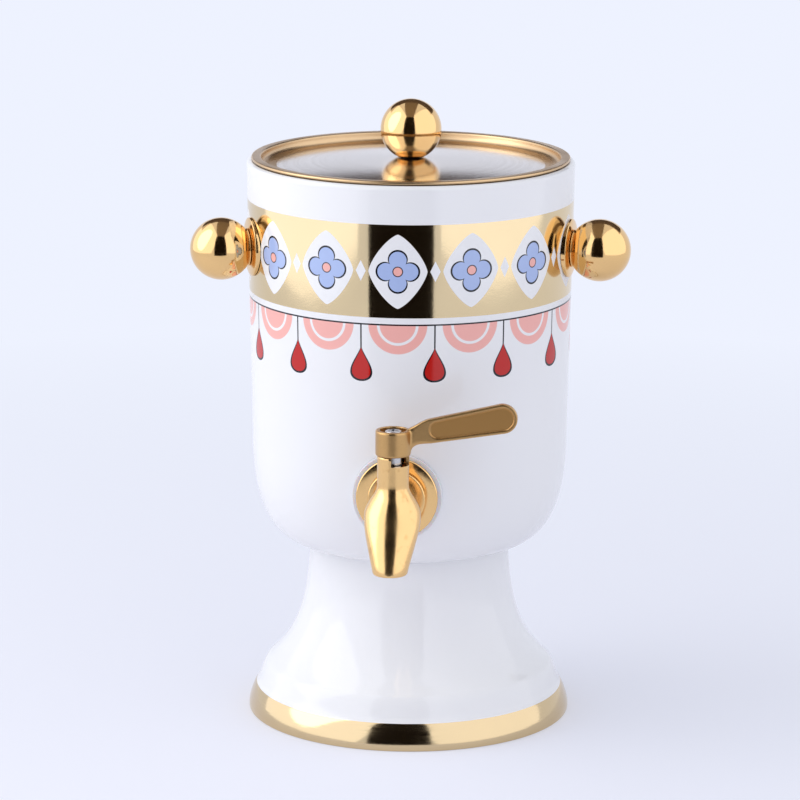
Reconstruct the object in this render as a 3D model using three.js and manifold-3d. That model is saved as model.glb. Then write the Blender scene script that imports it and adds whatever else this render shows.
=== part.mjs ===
// A ceramic drink dispenser: a lidded vessel with two ball handles and a brass tap,
// standing on a separate flared stand. Millimetres, +Z up, the tap faces -Y.
import * as THREE from 'three';
import * as BufferGeometryUtils from 'three/addons/utils/BufferGeometryUtils.js';
import Module from 'manifold-3d';

const wasm = await Module();
wasm.setup();

// Clearances
const gap = 0.3; // between two pieces that rest on each other
const overrun = 2; // how far a cutting tool runs past the piece it cuts

// Stand
const standHeight = 104.8;
const neckRadius = 59.2;
const neckWall = 6;
const neckEdge = 1.2; // rounding of the two rim edges
const footInset = 0.4; // foot's edge inside the vessel's rim
const bandInset = 4.6; // foot band's top edge, in from the foot's edge
const shoulderInset = 7.5;
const flareInset = 11.2; // where the flare turns into the shoulder
const flareHeight = 30;
const coveHeight = 21;
const bandHeight = 15.6;
const footWidth = 12.2; // ring that stands on the table
const footEdge = 1; // rounding at the table
const footLandHeight = 4.5; // plumb stretch of the foot

// Vessel
const vesselHeight = 228.5; // seat to lip
const rimRadius = 96.6;
const wallThickness = 5.5;
const wallDraft = 3; // how much narrower the wall is where it starts to round in
const cornerHeight = 67.2; // above the seat
const cornerPower = 2.55; // 2 is an ellipse, more is squarer
const seatRadius = 57.4;
const floorThickness = 7;
const floorRadius = 50;
const vesselFootDepth = 5; // foot ring that drops into the stand's neck
const vesselFootWidth = 5;
const vesselFootPlay = 0.8;

// Lid
const sheet = 1.2;
const flangeInset = 2.9; // flange edge inside the vessel's outer edge
const flangeThickness = 2;
const gasketThickness = 1.3;
const gasketHeight = 2.8;
const gasketRib = 0.5;
const recessDepth = 7.4; // flange top down to the gutter
const gutterWidth = 2.4;
const domeRise = 6.4;

// Lid knob
const lidKnobRadius = 17.95;
const lidKnobFlat = 7.7; // radius of the flat it stands on
const lidScrewRadius = 2.4;
const lidScrewLength = 13;
const lidScrewHeadRadius = 4.6;
const lidScrewHead = 2.8;
const lidWasherRadius = 7;
const lidWasherThickness = 1;

// Ball handles
const handleAngle = 75.4; // degrees round from the middle between the two
const handleTurn = 4.3; // degrees from the tap to that middle
const handleDrop = 48.2; // lip down to the handle's hole
const handleHoleRadius = 4;
const handleBallRadius = 18.25;
const handleNeckRadius = 10.6;
const handleNeckLength = 15.6; // ball centre to the neck's end
const handleNeckBlend = 12.8; // radius where the neck leaves the ball
const rosetteRadius = 17.1;
const rosetteRise = 2.4; // wall to the rosette's face
const rosetteEdge = 1.1; // wall to the top of its rim
const handleWasher = 0.5; // outer washer, sunk in the rosette's back
const handleWasherRadius = 13;
const handleInnerWasher = 1.2;
const handleInnerWasherRadius = 8;
const handleScrewRadius = 3;
const handleScrewGrip = 10; // screw in the ball
const handleScrewHeadRadius = 5.4;
const handleScrewHead = 3.4;

// Tap on the wall
const tapRise = 47.4; // seat to the tap's axis
const tapHoleRadius = 9;
const shankRadius = 8;
const inletRadius = 5;
const escutcheonRadius = 23.6;
const escutcheonThickness = 2.4;
const escutcheonLand = 17.4; // flat middle of its face
const tapWasherRadius = 25.8;
const tapWasher = 1; // outer washer at its thinnest
const tapInnerWasher = 1.2;
const tapInnerWasherRadius = 14;
const backWasherRadius = 13;
const backWasherThickness = 1.2;
const nutRadius = 14; // across corners
const nutThickness = 7;
const nutChamfer = 1.2;
const shankTail = 4; // shank past the nut

// Tap body
const collarRadius = 16.6;
const collarThickness = 2.5;
const barrelRadius = 12.2;
const stemReach = 31; // wall to the stem's axis
const housingRadius = 9.1;
const housingRise = 32; // tap axis to the top of the housing
const shoulderRise = 15.5; // tap axis to where the housing widens
const outletReach = 19; // stem's axis to the outlet's
const outletDrop = 32.5; // tap axis to the lip of the spout
const spoutHalfWidth = 15.8; // at its widest
const outletRadius = 10.1;
const spoutWall = 3;
const lipRounding = 1.3;

// Valve
const plugRadius = 6.7;
const plugPlay = 0.3; // plug in its chamber
const plugPortRadius = 4.2;
const chamberDrop = 7.5; // tap axis to the floor of the chamber
const plugRise = 19.5; // tap axis to the plug's shoulder
const stemRadius = 5;
const ringSection = 0.6; // radius of a seal ring's section
const lowerRingRise = 9;
const ringPitch = 5;
const clipThickness = 1.2;
const clipWidth = 2.2;
const clipGap = 7;

// Lever
const leverSwing = 90; // degrees from shut to open
const hubRadius = 10.1;
const hubHeight = 14.6;
const hubRecessRadius = 7.6;
const hubRecessDepth = 3.2;
const tangRadius = 4.2; // flatted end of the stem
const tangFlat = 3; // half of the width across its flats
const tangLength = 8.6;
const socketRise = 1.5; // hub's underside to the flatted socket
const stopDepth = 4.8;
const stopAngle = 28; // degrees that the stop lug fills
const stopPlay = 3; // degrees beside the stop lug
const leverReach = 71.5; // hub axis to the tip
const leverTilt = 11.1; // degrees
const leverRise = 10.2; // hub's underside to the paddle's middle line
const leverThickness = 4;
const leverTipRadius = 8.5;
const leverRootReach = 8.5;
const leverRootBelow = 6.4;
const leverRootAbove = 2.4;
const leverShoulderReach = 21;
const leverShoulder = 6.9; // half of the paddle's height at its shoulder
const leverBevel = 0.7;
const panelMargin = 1.9;
const panelDepth = 0.8;
const leverScrewRadius = 2;
const leverScrewLength = 9;
const leverScrewHeadRadius = 4.7;
const leverScrewHead = 1.6;
const leverScrewCross = 1.1; // width of each slot of the cross
const leverWasherThickness = 0.8;

// Fineness of round shapes
const wideSteps = 44;
const partSteps = 20;
const smallSteps = 12;
const cornerSteps = 7;
const sealSteps = 8;
const curveSteps = 5;
const edgeSteps = 2;

// Places that follow from the sizes
const seatZ = standHeight + gap;
const rimZ = seatZ + vesselHeight;
const cornerZ = seatZ + cornerHeight;
const tapZ = seatZ + tapRise;
const handleZ = rimZ - handleDrop;
const cornerRadius = rimRadius - wallDraft;
const neckInnerRadius = neckRadius - neckWall;
const footRadius = rimRadius - footInset;
const footInnerRadius = footRadius - footWidth;
const bandRadius = footRadius - bandInset;
const shoulderRadius = footRadius - shoulderInset;
const flareRadius = footRadius - flareInset;
const wallTaper = Math.atan2(rimRadius - cornerRadius, vesselHeight - cornerHeight);
const outside = {
  topRadius: rimRadius, topZ: rimZ, footRadius: cornerRadius, footZ: cornerZ,
  baseRadius: seatRadius, baseZ: seatZ,
};
const inside = {
  topRadius: rimRadius - wallThickness, topZ: rimZ, footRadius: cornerRadius - wallThickness, footZ: cornerZ,
  baseRadius: floorRadius, baseZ: seatZ + floorThickness,
};
const rimEdge = wallThickness / 2;
const tapWall = wallRadiusAt(outside, tapZ);
const tapInnerWall = wallRadiusAt(inside, tapZ);
const handleWall = wallRadiusAt(outside, handleZ) / Math.cos(wallTaper);
const handleInnerWall = handleWall - wallThickness * Math.cos(wallTaper);
const rosetteFront = handleWall + rosetteRise;
const neckEndReach = rosetteFront + gap;
const ballReach = neckEndReach + handleNeckLength;
const handleSoftBack = handleInnerWall - gap - sag(handleInnerWall, handleInnerWasherRadius);
const handleWasherReach = handleSoftBack - handleInnerWasher;
const tapHighWall = Math.max(tapWall, wallRadiusAt(outside, tapZ + tapWasherRadius));
const escutcheonReach = tapHighWall + tapWasher + 2 * gap;
const collarReach = escutcheonReach + escutcheonThickness + gap;
const tapLowWall = Math.min(
  tapInnerWall - sag(tapInnerWall, tapInnerWasherRadius),
  wallRadiusAt(inside, tapZ - tapInnerWasherRadius),
);
const innerWasherReach = tapLowWall - gap - tapInnerWasher;
const backWasherReach = innerWasherReach - gap - backWasherThickness;
const nutReach = backWasherReach - gap - nutThickness;
const shankEndReach = nutReach - shankTail;
const stemY = -(tapWall + stemReach);
const outletY = stemY - outletReach;
const housingTopZ = tapZ + housingRise;
const outletZ = tapZ - outletDrop;
const chamberRadius = plugRadius + plugPlay;
const chamberFloorZ = tapZ - chamberDrop;
const plugShoulderZ = tapZ + plugRise;
const hubZ = housingTopZ + gap;
const gasketTopZ = rimZ - rimEdge;
const gasketFootZ = gasketTopZ - gasketHeight;
const mouthRadius = Math.min(wallRadiusAt(inside, gasketTopZ), wallRadiusAt(inside, gasketFootZ));
const ribRadius = mouthRadius - gap;
const dishRadius = ribRadius - gasketThickness - gap;
const flangeZ = rimZ + gap;
const flangeTopZ = flangeZ + flangeThickness;
const gutterZ = flangeTopZ - recessDepth;
const domeTopZ = gutterZ + domeRise;
const lidKnobZ = domeTopZ + gap + Math.sqrt(lidKnobRadius ** 2 - lidKnobFlat ** 2);

// Looks
const glaze = { color: 0xf4f3f1, roughness: 0.12, metalness: 0 };
const polishedGold = { color: 0xd8a650, roughness: 0.12, metalness: 1 };
const satinGold = { color: 0xb48a4c, roughness: 0.38, metalness: 1 };
const brushedGold = { color: 0xc9b087, roughness: 0.3, metalness: 1 };
const steel = { color: 0xb9bbbd, roughness: 0.3, metalness: 1 };
const silicone = { color: 0xdfe4ea, roughness: 0.5, metalness: 0 };

// Radius of the vessel's wall at a height: a straight taper above a squarish rounded corner.
function wallRadiusAt(shape, z) {
  if (z >= shape.footZ) {
    const share = (z - shape.footZ) / (shape.topZ - shape.footZ);
    return shape.footRadius + share * (shape.topRadius - shape.footRadius);
  }
  const share = (shape.footZ - z) / (shape.footZ - shape.baseZ);
  const reach = (1 - share ** cornerPower) ** (1 / cornerPower);
  return shape.baseRadius + reach * (shape.footRadius - shape.baseRadius);
}

// The corner's outline from the base up to the foot of the wall.
function cornerOutline(shape, grow) {
  const points = [];
  for (let i = cornerSteps; i >= 0; i -= 1) {
    const angle = (i / cornerSteps) * (Math.PI / 2);
    const out = Math.cos(angle) ** (2 / cornerPower);
    const down = Math.sin(angle) ** (2 / cornerPower);
    points.push([
      shape.baseRadius + grow + out * (shape.footRadius - shape.baseRadius),
      shape.footZ - down * (shape.footZ - shape.baseZ) - grow,
    ]);
  }
  return points;
}

// Points on an arc of an outline, its angles in degrees from the outward direction.
function arcOutline(r, z, radius, from, to, steps) {
  const points = [];
  for (let i = 0; i <= steps; i += 1) {
    const angle = THREE.MathUtils.degToRad(from + (i / steps) * (to - from));
    points.push([r + radius * Math.cos(angle), z + radius * Math.sin(angle)]);
  }
  return points;
}

function bezierOutline(start, startPull, endPull, end, steps) {
  const corners = [start, startPull, endPull, end].map(([r, z]) => new THREE.Vector2(r, z));
  return new THREE.CubicBezierCurve(...corners).getPoints(steps).map((p) => [p.x, p.y]);
}

// A closed mesh with shared corners and no flat triangles.
function closed(geometry) {
  geometry.deleteAttribute('normal');
  geometry.deleteAttribute('uv');
  const merged = BufferGeometryUtils.mergeVertices(geometry);
  const index = merged.index.array;
  const kept = [];
  for (let i = 0; i < index.length; i += 3) {
    const [a, b, c] = [index[i], index[i + 1], index[i + 2]];
    if (a !== b && b !== c && c !== a) kept.push(a, b, c);
  }
  merged.setIndex(kept);
  return merged;
}

function solid(geometry) {
  const mesh = closed(geometry);
  return new wasm.Manifold(new wasm.Mesh({
    numProp: 3,
    vertProperties: new Float32Array(mesh.attributes.position.array),
    triVerts: new Uint32Array(mesh.index.array),
  }));
}

function geometryOf(body) {
  const mesh = body.getMesh();
  const geometry = new THREE.BufferGeometry();
  geometry.setAttribute('position', new THREE.BufferAttribute(mesh.vertProperties, 3));
  geometry.setIndex(new THREE.BufferAttribute(mesh.triVerts, 1));
  return geometry;
}

// An outline of [radius, height] points turned about Z. It runs anticlockwise, and it starts
// and ends on the axis, or is closed here into a ring.
function turned(outline, steps) {
  const points = outline.map(([r, z]) => new THREE.Vector2(r, z));
  const onAxis = outline[0][0] === 0;
  if (!onAxis) points.push(points[0].clone());
  return closed(new THREE.LatheGeometry(points, steps).rotateX(Math.PI / 2));
}

function rod(radius, fromZ, toZ, steps) {
  return turned([[0, fromZ], [radius, fromZ], [radius, toZ], [0, toZ]], steps);
}

function ring(innerRadius, outerRadius, fromZ, toZ, steps) {
  return turned([[innerRadius, fromZ], [outerRadius, fromZ], [outerRadius, toZ], [innerRadius, toZ]], steps);
}

// A prism over a stretch of a ring, its angles in degrees from +X.
function sector(innerRadius, outerRadius, from, to, fromZ, toZ) {
  const start = THREE.MathUtils.degToRad(from);
  const end = THREE.MathUtils.degToRad(to);
  const shape = new THREE.Shape();
  shape.absarc(0, 0, outerRadius, start, end, false);
  shape.absarc(0, 0, innerRadius, end, start, true);
  const settings = { depth: toZ - fromZ, bevelEnabled: false, curveSegments: curveSteps };
  return new THREE.ExtrudeGeometry(shape, settings).translate(0, 0, fromZ);
}

function block(width, depth, height, x, y, z) {
  return new THREE.BoxGeometry(width, depth, height).translate(x, y, z);
}

// A closed skin over a stack of rings of equal count, each anticlockwise from above.
function loft(rings) {
  const count = rings[0].length;
  const corners = rings.flat();
  const middle = (points) => points.reduce((sum, p) => sum.add(p), new THREE.Vector3()).divideScalar(count);
  const low = corners.push(middle(rings[0])) - 1;
  const high = corners.push(middle(rings[rings.length - 1])) - 1;
  const last = (rings.length - 1) * count;
  const index = [];
  for (let j = 0; j < count; j += 1) {
    const next = (j + 1) % count;
    for (let i = 0; i < last; i += count) {
      index.push(i + j, i + next, i + count + next, i + j, i + count + next, i + count + j);
    }
    index.push(low, next, j, high, last + j, last + next);
  }
  const geometry = new THREE.BufferGeometry().setFromPoints(corners);
  geometry.setIndex(index);
  return geometry;
}

// A piece that lies along the tap's axis: its turned height becomes its reach from the vessel's axis.
function alongTap(geometry) {
  return geometry.rotateX(Math.PI / 2).translate(0, 0, tapZ);
}

function piece(name, shape, look) {
  const geometry = shape.isBufferGeometry ? shape : geometryOf(shape);
  const mesh = new THREE.Mesh(geometry, new THREE.MeshStandardMaterial(look));
  mesh.name = name;
  return mesh;
}

// The vessel's wall as a full body, grown or shrunk by the clearance to what rests on it.
function wallBody(shape, grow) {
  const outline = [[0, shape.baseZ - grow], ...cornerOutline(shape, grow)];
  outline.push([shape.topRadius + grow, shape.topZ], [0, shape.topZ]);
  return solid(turned(outline, wideSteps));
}

function pedestal() {
  const neckTop = standHeight - neckEdge;
  const flareFall = neckTop - flareHeight;
  const flareOut = flareRadius - neckRadius;
  const pullShares = { neckOut: 0.05, neckDown: 0.35, flareOut: 0.13, flareUp: 0.255 };
  const flare = (radius, drop, endRadius, steps) => bezierOutline(
    [endRadius, flareHeight - drop],
    [radius + pullShares.flareOut * flareOut, flareHeight - drop + pullShares.flareUp * flareFall],
    [radius + pullShares.neckOut * flareOut, neckTop - pullShares.neckDown * flareFall],
    [radius, neckTop],
    steps,
  );
  const shoulder = bezierOutline(
    [bandRadius, bandHeight],
    [shoulderRadius, coveHeight - (coveHeight - bandHeight) / 2],
    [shoulderRadius, (coveHeight + flareHeight) / 2],
    [flareRadius, flareHeight],
    curveSteps - 1,
  );
  const band = bezierOutline(
    [footRadius, footLandHeight],
    [footRadius, (footLandHeight + bandHeight) / 2],
    [(footRadius + bandRadius) / 2, bandHeight],
    [bandRadius, bandHeight],
    curveSteps - 1,
  );
  const innerFlareRadius = flareRadius - neckWall - footEdge;
  return piece('pedestal', turned([
    [footInnerRadius, 0],
    ...arcOutline(footRadius - footEdge, footEdge, footEdge, -90, 0, edgeSteps),
    ...band,
    ...shoulder.slice(1),
    ...flare(neckRadius, 0, flareRadius, curveSteps + edgeSteps).slice(1),
    ...arcOutline(neckRadius - neckEdge, neckTop, neckEdge, 0, 90, edgeSteps).slice(1),
    ...arcOutline(neckInnerRadius + neckEdge, neckTop, neckEdge, 90, 180, edgeSteps),
    ...flare(neckInnerRadius, neckWall, innerFlareRadius, curveSteps).reverse().slice(1),
    [footInnerRadius - footEdge, bandHeight],
  ], wideSteps), glaze);
}

// A hole through the wall towards a handle.
function handleHole(side) {
  const hole = rod(handleHoleRadius, handleInnerWall - wallThickness, handleWall + wallThickness, smallSteps);
  return solid(hole.applyMatrix4(handleFrame(side)));
}

function vesselBowl() {
  const footOuter = neckInnerRadius - vesselFootPlay;
  const footInner = footOuter - vesselFootWidth;
  const footZ = seatZ - vesselFootDepth;
  const lipZ = rimZ - rimEdge;
  const lipMiddle = wallRadiusAt(outside, lipZ) - rimEdge;
  const bowl = solid(turned([
    [0, seatZ],
    [footInner, seatZ],
    [footInner, footZ],
    [footOuter, footZ],
    [footOuter, seatZ],
    ...cornerOutline(outside, 0),
    ...arcOutline(lipMiddle, lipZ, rimEdge, 0, 180, edgeSteps * 2),
    ...cornerOutline(inside, 0).reverse(),
    [0, seatZ + floorThickness],
  ], wideSteps));
  const tapHole = solid(alongTap(
    rod(tapHoleRadius, tapInnerWall - wallThickness, tapWall + wallThickness, smallSteps),
  ));
  const drilled = bowl.subtract(tapHole).subtract(handleHole(-1)).subtract(handleHole(1));
  return piece('vessel_bowl', drilled, glaze);
}

// Height of the lid's dome at a radius, on a sphere through its top and its foot.
function domeOutline(drop, innerRadius, steps) {
  const footR = dishRadius - sheet - gutterWidth;
  const sphere = (footR ** 2 + domeRise ** 2) / (2 * domeRise);
  const points = [];
  for (let i = 0; i <= steps; i += 1) {
    const r = innerRadius + (i / steps) * (footR - innerRadius);
    points.push([r, domeTopZ - drop - sphere + Math.sqrt(sphere ** 2 - r ** 2)]);
  }
  return points;
}

function lidDish() {
  const holeRadius = lidScrewRadius + gap;
  const edge = flangeThickness / 2;
  const flangeRadius = rimRadius - flangeInset;
  const recessRadius = dishRadius - sheet;
  const bend = gutterWidth / 2;
  return piece('lid_dish', turned([
    ...domeOutline(sheet, holeRadius, curveSteps),
    ...arcOutline(dishRadius - bend, gutterZ + bend - sheet, bend, -90, 0, edgeSteps),
    [dishRadius, flangeZ],
    ...arcOutline(flangeRadius - edge, flangeZ + edge, edge, -90, 90, edgeSteps * 2),
    ...arcOutline(recessRadius + sheet, flangeTopZ - sheet, sheet, 90, 180, edgeSteps),
    [recessRadius, gutterZ + sheet],
    [recessRadius - sheet, gutterZ],
    ...domeOutline(0, holeRadius, curveSteps).reverse(),
  ], wideSteps), brushedGold);
}

// A ring with two sealing ribs that runs round the dish below its flange.
function lidGasket() {
  const innerRadius = dishRadius + gap;
  const valleyRadius = ribRadius - gasketRib;
  const pitch = gasketHeight / 4;
  return piece('lid_gasket', turned([
    [innerRadius, gasketFootZ],
    [valleyRadius, gasketFootZ],
    [ribRadius, gasketFootZ + pitch],
    [valleyRadius, gasketFootZ + 2 * pitch],
    [ribRadius, gasketFootZ + 3 * pitch],
    [valleyRadius, gasketTopZ],
    [innerRadius, gasketTopZ],
  ], wideSteps), silicone);
}

function lidKnob() {
  const flatZ = domeTopZ + gap;
  const boreZ = flatZ + lidScrewLength - sheet;
  const flatAngle = THREE.MathUtils.radToDeg(Math.acos(lidKnobFlat / lidKnobRadius));
  return piece('lid_knob', turned([
    [0, boreZ],
    [lidScrewRadius + gap, boreZ],
    [lidScrewRadius + gap, flatZ],
    ...arcOutline(0, lidKnobZ, lidKnobRadius, -flatAngle, 90, curveSteps * 2).slice(0, -1),
    [0, lidKnobZ + lidKnobRadius],
  ], partSteps), polishedGold);
}

// A round-headed screw that points up, its head's underside at the given height.
function screw(radius, headRadius, headThickness, headZ, length) {
  const rim = headThickness / 3;
  return turned([
    [0, headZ - headThickness],
    [headRadius - rim, headZ - headThickness],
    [headRadius, headZ - headThickness + rim],
    [headRadius, headZ],
    [radius, headZ],
    [radius, headZ + length],
    [0, headZ + length],
  ], smallSteps);
}

function lidHardware() {
  const washerZ = domeTopZ - sheet - gap;
  const washerFoot = washerZ - lidWasherThickness;
  const headZ = washerFoot - gap;
  const washer = ring(lidScrewRadius + gap, lidWasherRadius, washerFoot, washerZ, smallSteps);
  return [
    piece('lid_washer', washer, steel),
    piece('lid_screw', screw(lidScrewRadius, lidScrewHeadRadius, lidScrewHead, headZ, lidScrewLength), steel),
  ];
}

// The frame of a handle: its Z runs out of the vessel, square to the tapered wall.
function handleFrame(side) {
  const round = new THREE.Matrix4().makeRotationZ(THREE.MathUtils.degToRad(side * handleAngle + handleTurn - 90));
  const out = new THREE.Matrix4().makeRotationY(Math.PI / 2 + wallTaper);
  const up = handleZ + handleWall * Math.sin(wallTaper);
  return new THREE.Matrix4().makeTranslation(0, 0, up).multiply(round).multiply(out);
}

function handleBall() {
  const boreRadius = handleScrewRadius + gap;
  const boreZ = neckEndReach + handleScrewGrip + overrun;
  const blendAngle = THREE.MathUtils.radToDeg(Math.acos(handleNeckBlend / handleBallRadius));
  const blendZ = ballReach - Math.sqrt(handleBallRadius ** 2 - handleNeckBlend ** 2);
  const neck = bezierOutline(
    [handleNeckRadius, neckEndReach],
    [handleNeckRadius, (neckEndReach + blendZ) / 2],
    [(handleNeckRadius + handleNeckBlend) / 2, blendZ - (handleNeckBlend - handleNeckRadius) / 2],
    [handleNeckBlend, blendZ],
    edgeSteps * 2,
  );
  return turned([
    [0, boreZ],
    [boreRadius, boreZ],
    [boreRadius, neckEndReach],
    ...neck,
    ...arcOutline(0, ballReach, handleBallRadius, -blendAngle, 90, curveSteps * 2).slice(1, -1),
    [0, ballReach + handleBallRadius],
  ], partSteps);
}

// A rosette whose back follows the wall's curve, with a seat for the washer sunk in it.
function handleRosette(side) {
  const backReach = handleWall - sag(handleWall, rosetteRadius) - overrun;
  const edgeZ = handleWall + rosetteEdge;
  const face = bezierOutline(
    [rosetteRadius, edgeZ],
    [rosetteRadius, (edgeZ + rosetteFront) / 2],
    [(rosetteRadius + handleNeckRadius) / 2, rosetteFront],
    [handleNeckRadius, rosetteFront],
    curveSteps,
  );
  const blank = turned([
    [handleScrewRadius + gap, backReach],
    [rosetteRadius, backReach],
    ...face,
    [handleScrewRadius + gap, rosetteFront],
  ], partSteps);
  const toVessel = handleFrame(side);
  const seatRod = rod(handleWasherRadius + gap, backReach, rosetteFront, partSteps);
  const seat = solid(seatRod.applyMatrix4(toVessel)).intersect(wallBody(outside, handleWasher + 2 * gap));
  const cut = solid(blank.applyMatrix4(toVessel)).subtract(wallBody(outside, gap)).subtract(seat);
  return geometryOf(cut).applyMatrix4(toVessel.invert());
}

// A soft washer that follows the wall's curve on both sides.
function handleOuterWasher(side) {
  const backReach = handleWall - sag(handleWall, handleWasherRadius) - overrun;
  const blank = ring(handleHoleRadius, handleWasherRadius, backReach, rosetteFront, partSteps);
  const toVessel = handleFrame(side);
  const cut = solid(blank.applyMatrix4(toVessel))
    .intersect(wallBody(outside, gap + handleWasher))
    .subtract(wallBody(outside, gap));
  return geometryOf(cut).applyMatrix4(toVessel.invert());
}

// How far a round wall falls back over a washer's radius.
function sag(wallRadius, washerRadius) {
  return wallRadius - Math.sqrt(wallRadius ** 2 - washerRadius ** 2);
}

function handleSoftWasher(side) {
  const holeRadius = handleScrewRadius + gap;
  const blank = ring(holeRadius, handleInnerWasherRadius, handleWasherReach, handleWall, smallSteps);
  const toVessel = handleFrame(side);
  const cut = solid(blank.applyMatrix4(toVessel)).intersect(wallBody(inside, -gap));
  return geometryOf(cut).applyMatrix4(toVessel.invert());
}

function handle(side, name) {
  const washerZ = handleWasherReach - gap;
  const headZ = washerZ - handleInnerWasher - gap;
  const screwEndZ = neckEndReach + handleScrewGrip;
  const metalWasher = ring(
    handleScrewRadius + gap, handleInnerWasherRadius, washerZ - handleInnerWasher, washerZ, smallSteps,
  );
  const bolt = screw(handleScrewRadius, handleScrewHeadRadius, handleScrewHead, headZ, screwEndZ - headZ);
  const group = new THREE.Group();
  group.add(
    piece(`${name}_handle_ball`, handleBall(), polishedGold),
    piece(`${name}_handle_rosette`, handleRosette(side), polishedGold),
    piece(`${name}_handle_outer_washer`, handleOuterWasher(side), silicone),
    piece(`${name}_handle_inner_washer`, handleSoftWasher(side), silicone),
    piece(`${name}_handle_metal_washer`, metalWasher, steel),
    piece(`${name}_handle_screw`, bolt, steel),
  );
  group.applyMatrix4(handleFrame(side));
  return group;
}

function tapOuterWasher() {
  const frontReach = escutcheonReach - gap;
  const lowWall = wallRadiusAt(outside, tapZ - tapWasherRadius);
  const backReach = lowWall - sag(lowWall, tapWasherRadius) - overrun;
  const blank = alongTap(ring(tapHoleRadius, tapWasherRadius, backReach, frontReach, partSteps));
  return piece('tap_outer_washer', solid(blank).subtract(wallBody(outside, gap)), silicone);
}

function tapEscutcheon() {
  const frontReach = escutcheonReach + escutcheonThickness;
  const bevel = escutcheonThickness / 4;
  const disc = turned([
    [shankRadius + gap, escutcheonReach],
    [escutcheonRadius, escutcheonReach],
    [escutcheonRadius, frontReach - 2 * bevel],
    [escutcheonRadius - bevel, frontReach - bevel],
    [escutcheonLand, frontReach],
    [shankRadius + gap, frontReach],
  ], partSteps * 2);
  return piece('tap_escutcheon', alongTap(disc), polishedGold);
}

function tapInnerHardware() {
  const holeRadius = shankRadius + gap;
  const blank = alongTap(ring(holeRadius, tapInnerWasherRadius, innerWasherReach, tapWall, partSteps));
  const backWasherFront = backWasherReach + backWasherThickness;
  const back = ring(holeRadius, backWasherRadius, backWasherReach, backWasherFront, partSteps);
  const hex = new THREE.CylinderGeometry(nutRadius, nutRadius, nutThickness, 6).rotateX(Math.PI / 2);
  hex.translate(0, 0, nutReach + nutThickness / 2);
  const barrel = turned([
    [holeRadius, nutReach],
    [nutRadius - nutChamfer, nutReach],
    [nutRadius + gap, nutReach + nutChamfer],
    [nutRadius + gap, nutReach + nutThickness - nutChamfer],
    [nutRadius - nutChamfer, nutReach + nutThickness],
    [holeRadius, nutReach + nutThickness],
  ], partSteps);
  const nut = solid(hex).intersect(solid(barrel));
  return [
    piece('tap_inner_washer', solid(blank).intersect(wallBody(inside, -gap)), silicone),
    piece('tap_metal_washer', alongTap(back), steel),
    piece('tap_lock_nut', alongTap(geometryOf(nut)), steel),
  ];
}

// Rings down the spout, from the stem's shoulder to the lip. The shares say how far down each
// ring lies, how wide and deep it is between housing and widest spout, and how far forward it is.
const spoutShares = [
  { down: 0, width: 0, depth: 0, forward: 0 },
  { down: 0.1, width: 0.2, depth: 0.14, forward: 0 },
  { down: 0.2, width: 0.62, depth: 0.44, forward: 0.03 },
  { down: 0.31, width: 0.95, depth: 0.72, forward: 0.09 },
  { down: 0.41, width: 1, depth: 0.8, forward: 0.2 },
  { down: 0.54, width: 0.88, depth: 0.72, forward: 0.4 },
  { down: 0.68, width: 0.65, depth: 0.5, forward: 0.63 },
  { down: 0.84, width: 0.36, depth: 0.28, forward: 0.86 },
  { down: 0.93, width: 0.2, depth: 0.18, forward: 0.97 },
];

function ellipseRing(halfWidth, halfDepth, y, z, steps) {
  const points = [];
  for (let i = 0; i < steps; i += 1) {
    const angle = (i / steps) * 2 * Math.PI;
    points.push(new THREE.Vector3(halfWidth * Math.cos(angle), y + halfDepth * Math.sin(angle), z));
  }
  return points;
}

// The spout's stations above its lip, from the lowest up, in real sizes.
function spoutStations() {
  const topZ = tapZ + shoulderRise;
  const swell = spoutHalfWidth - housingRadius;
  return spoutShares.map(({ down, width, depth, forward }) => ({
    halfWidth: housingRadius + width * swell,
    halfDepth: housingRadius + depth * swell,
    y: stemY - forward * outletReach,
    z: topZ - down * (topZ - outletZ),
  })).reverse();
}

function spoutSkin() {
  const lipRadius = outletRadius - lipRounding;
  const rings = spoutStations().map((at) => ellipseRing(at.halfWidth, at.halfDepth, at.y, at.z, partSteps));
  return solid(loft([
    ellipseRing(lipRadius, lipRadius, outletY, outletZ, partSteps),
    ellipseRing(outletRadius, outletRadius, outletY, outletZ + lipRounding, partSteps),
    ...rings,
  ]));
}

// The way through the spout, from below the lip to the chamber's floor.
function spoutBore() {
  const radius = outletRadius - spoutWall;
  const way = spoutStations().filter((at) => at.z < chamberFloorZ - overrun);
  const rings = way.map((at) => ellipseRing(radius, radius, at.y, at.z, partSteps));
  return solid(loft([
    ellipseRing(radius, radius, outletY, outletZ - overrun, partSteps),
    ...rings,
    ellipseRing(radius, radius, stemY, chamberFloorZ + gap, partSteps),
  ]));
}

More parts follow.
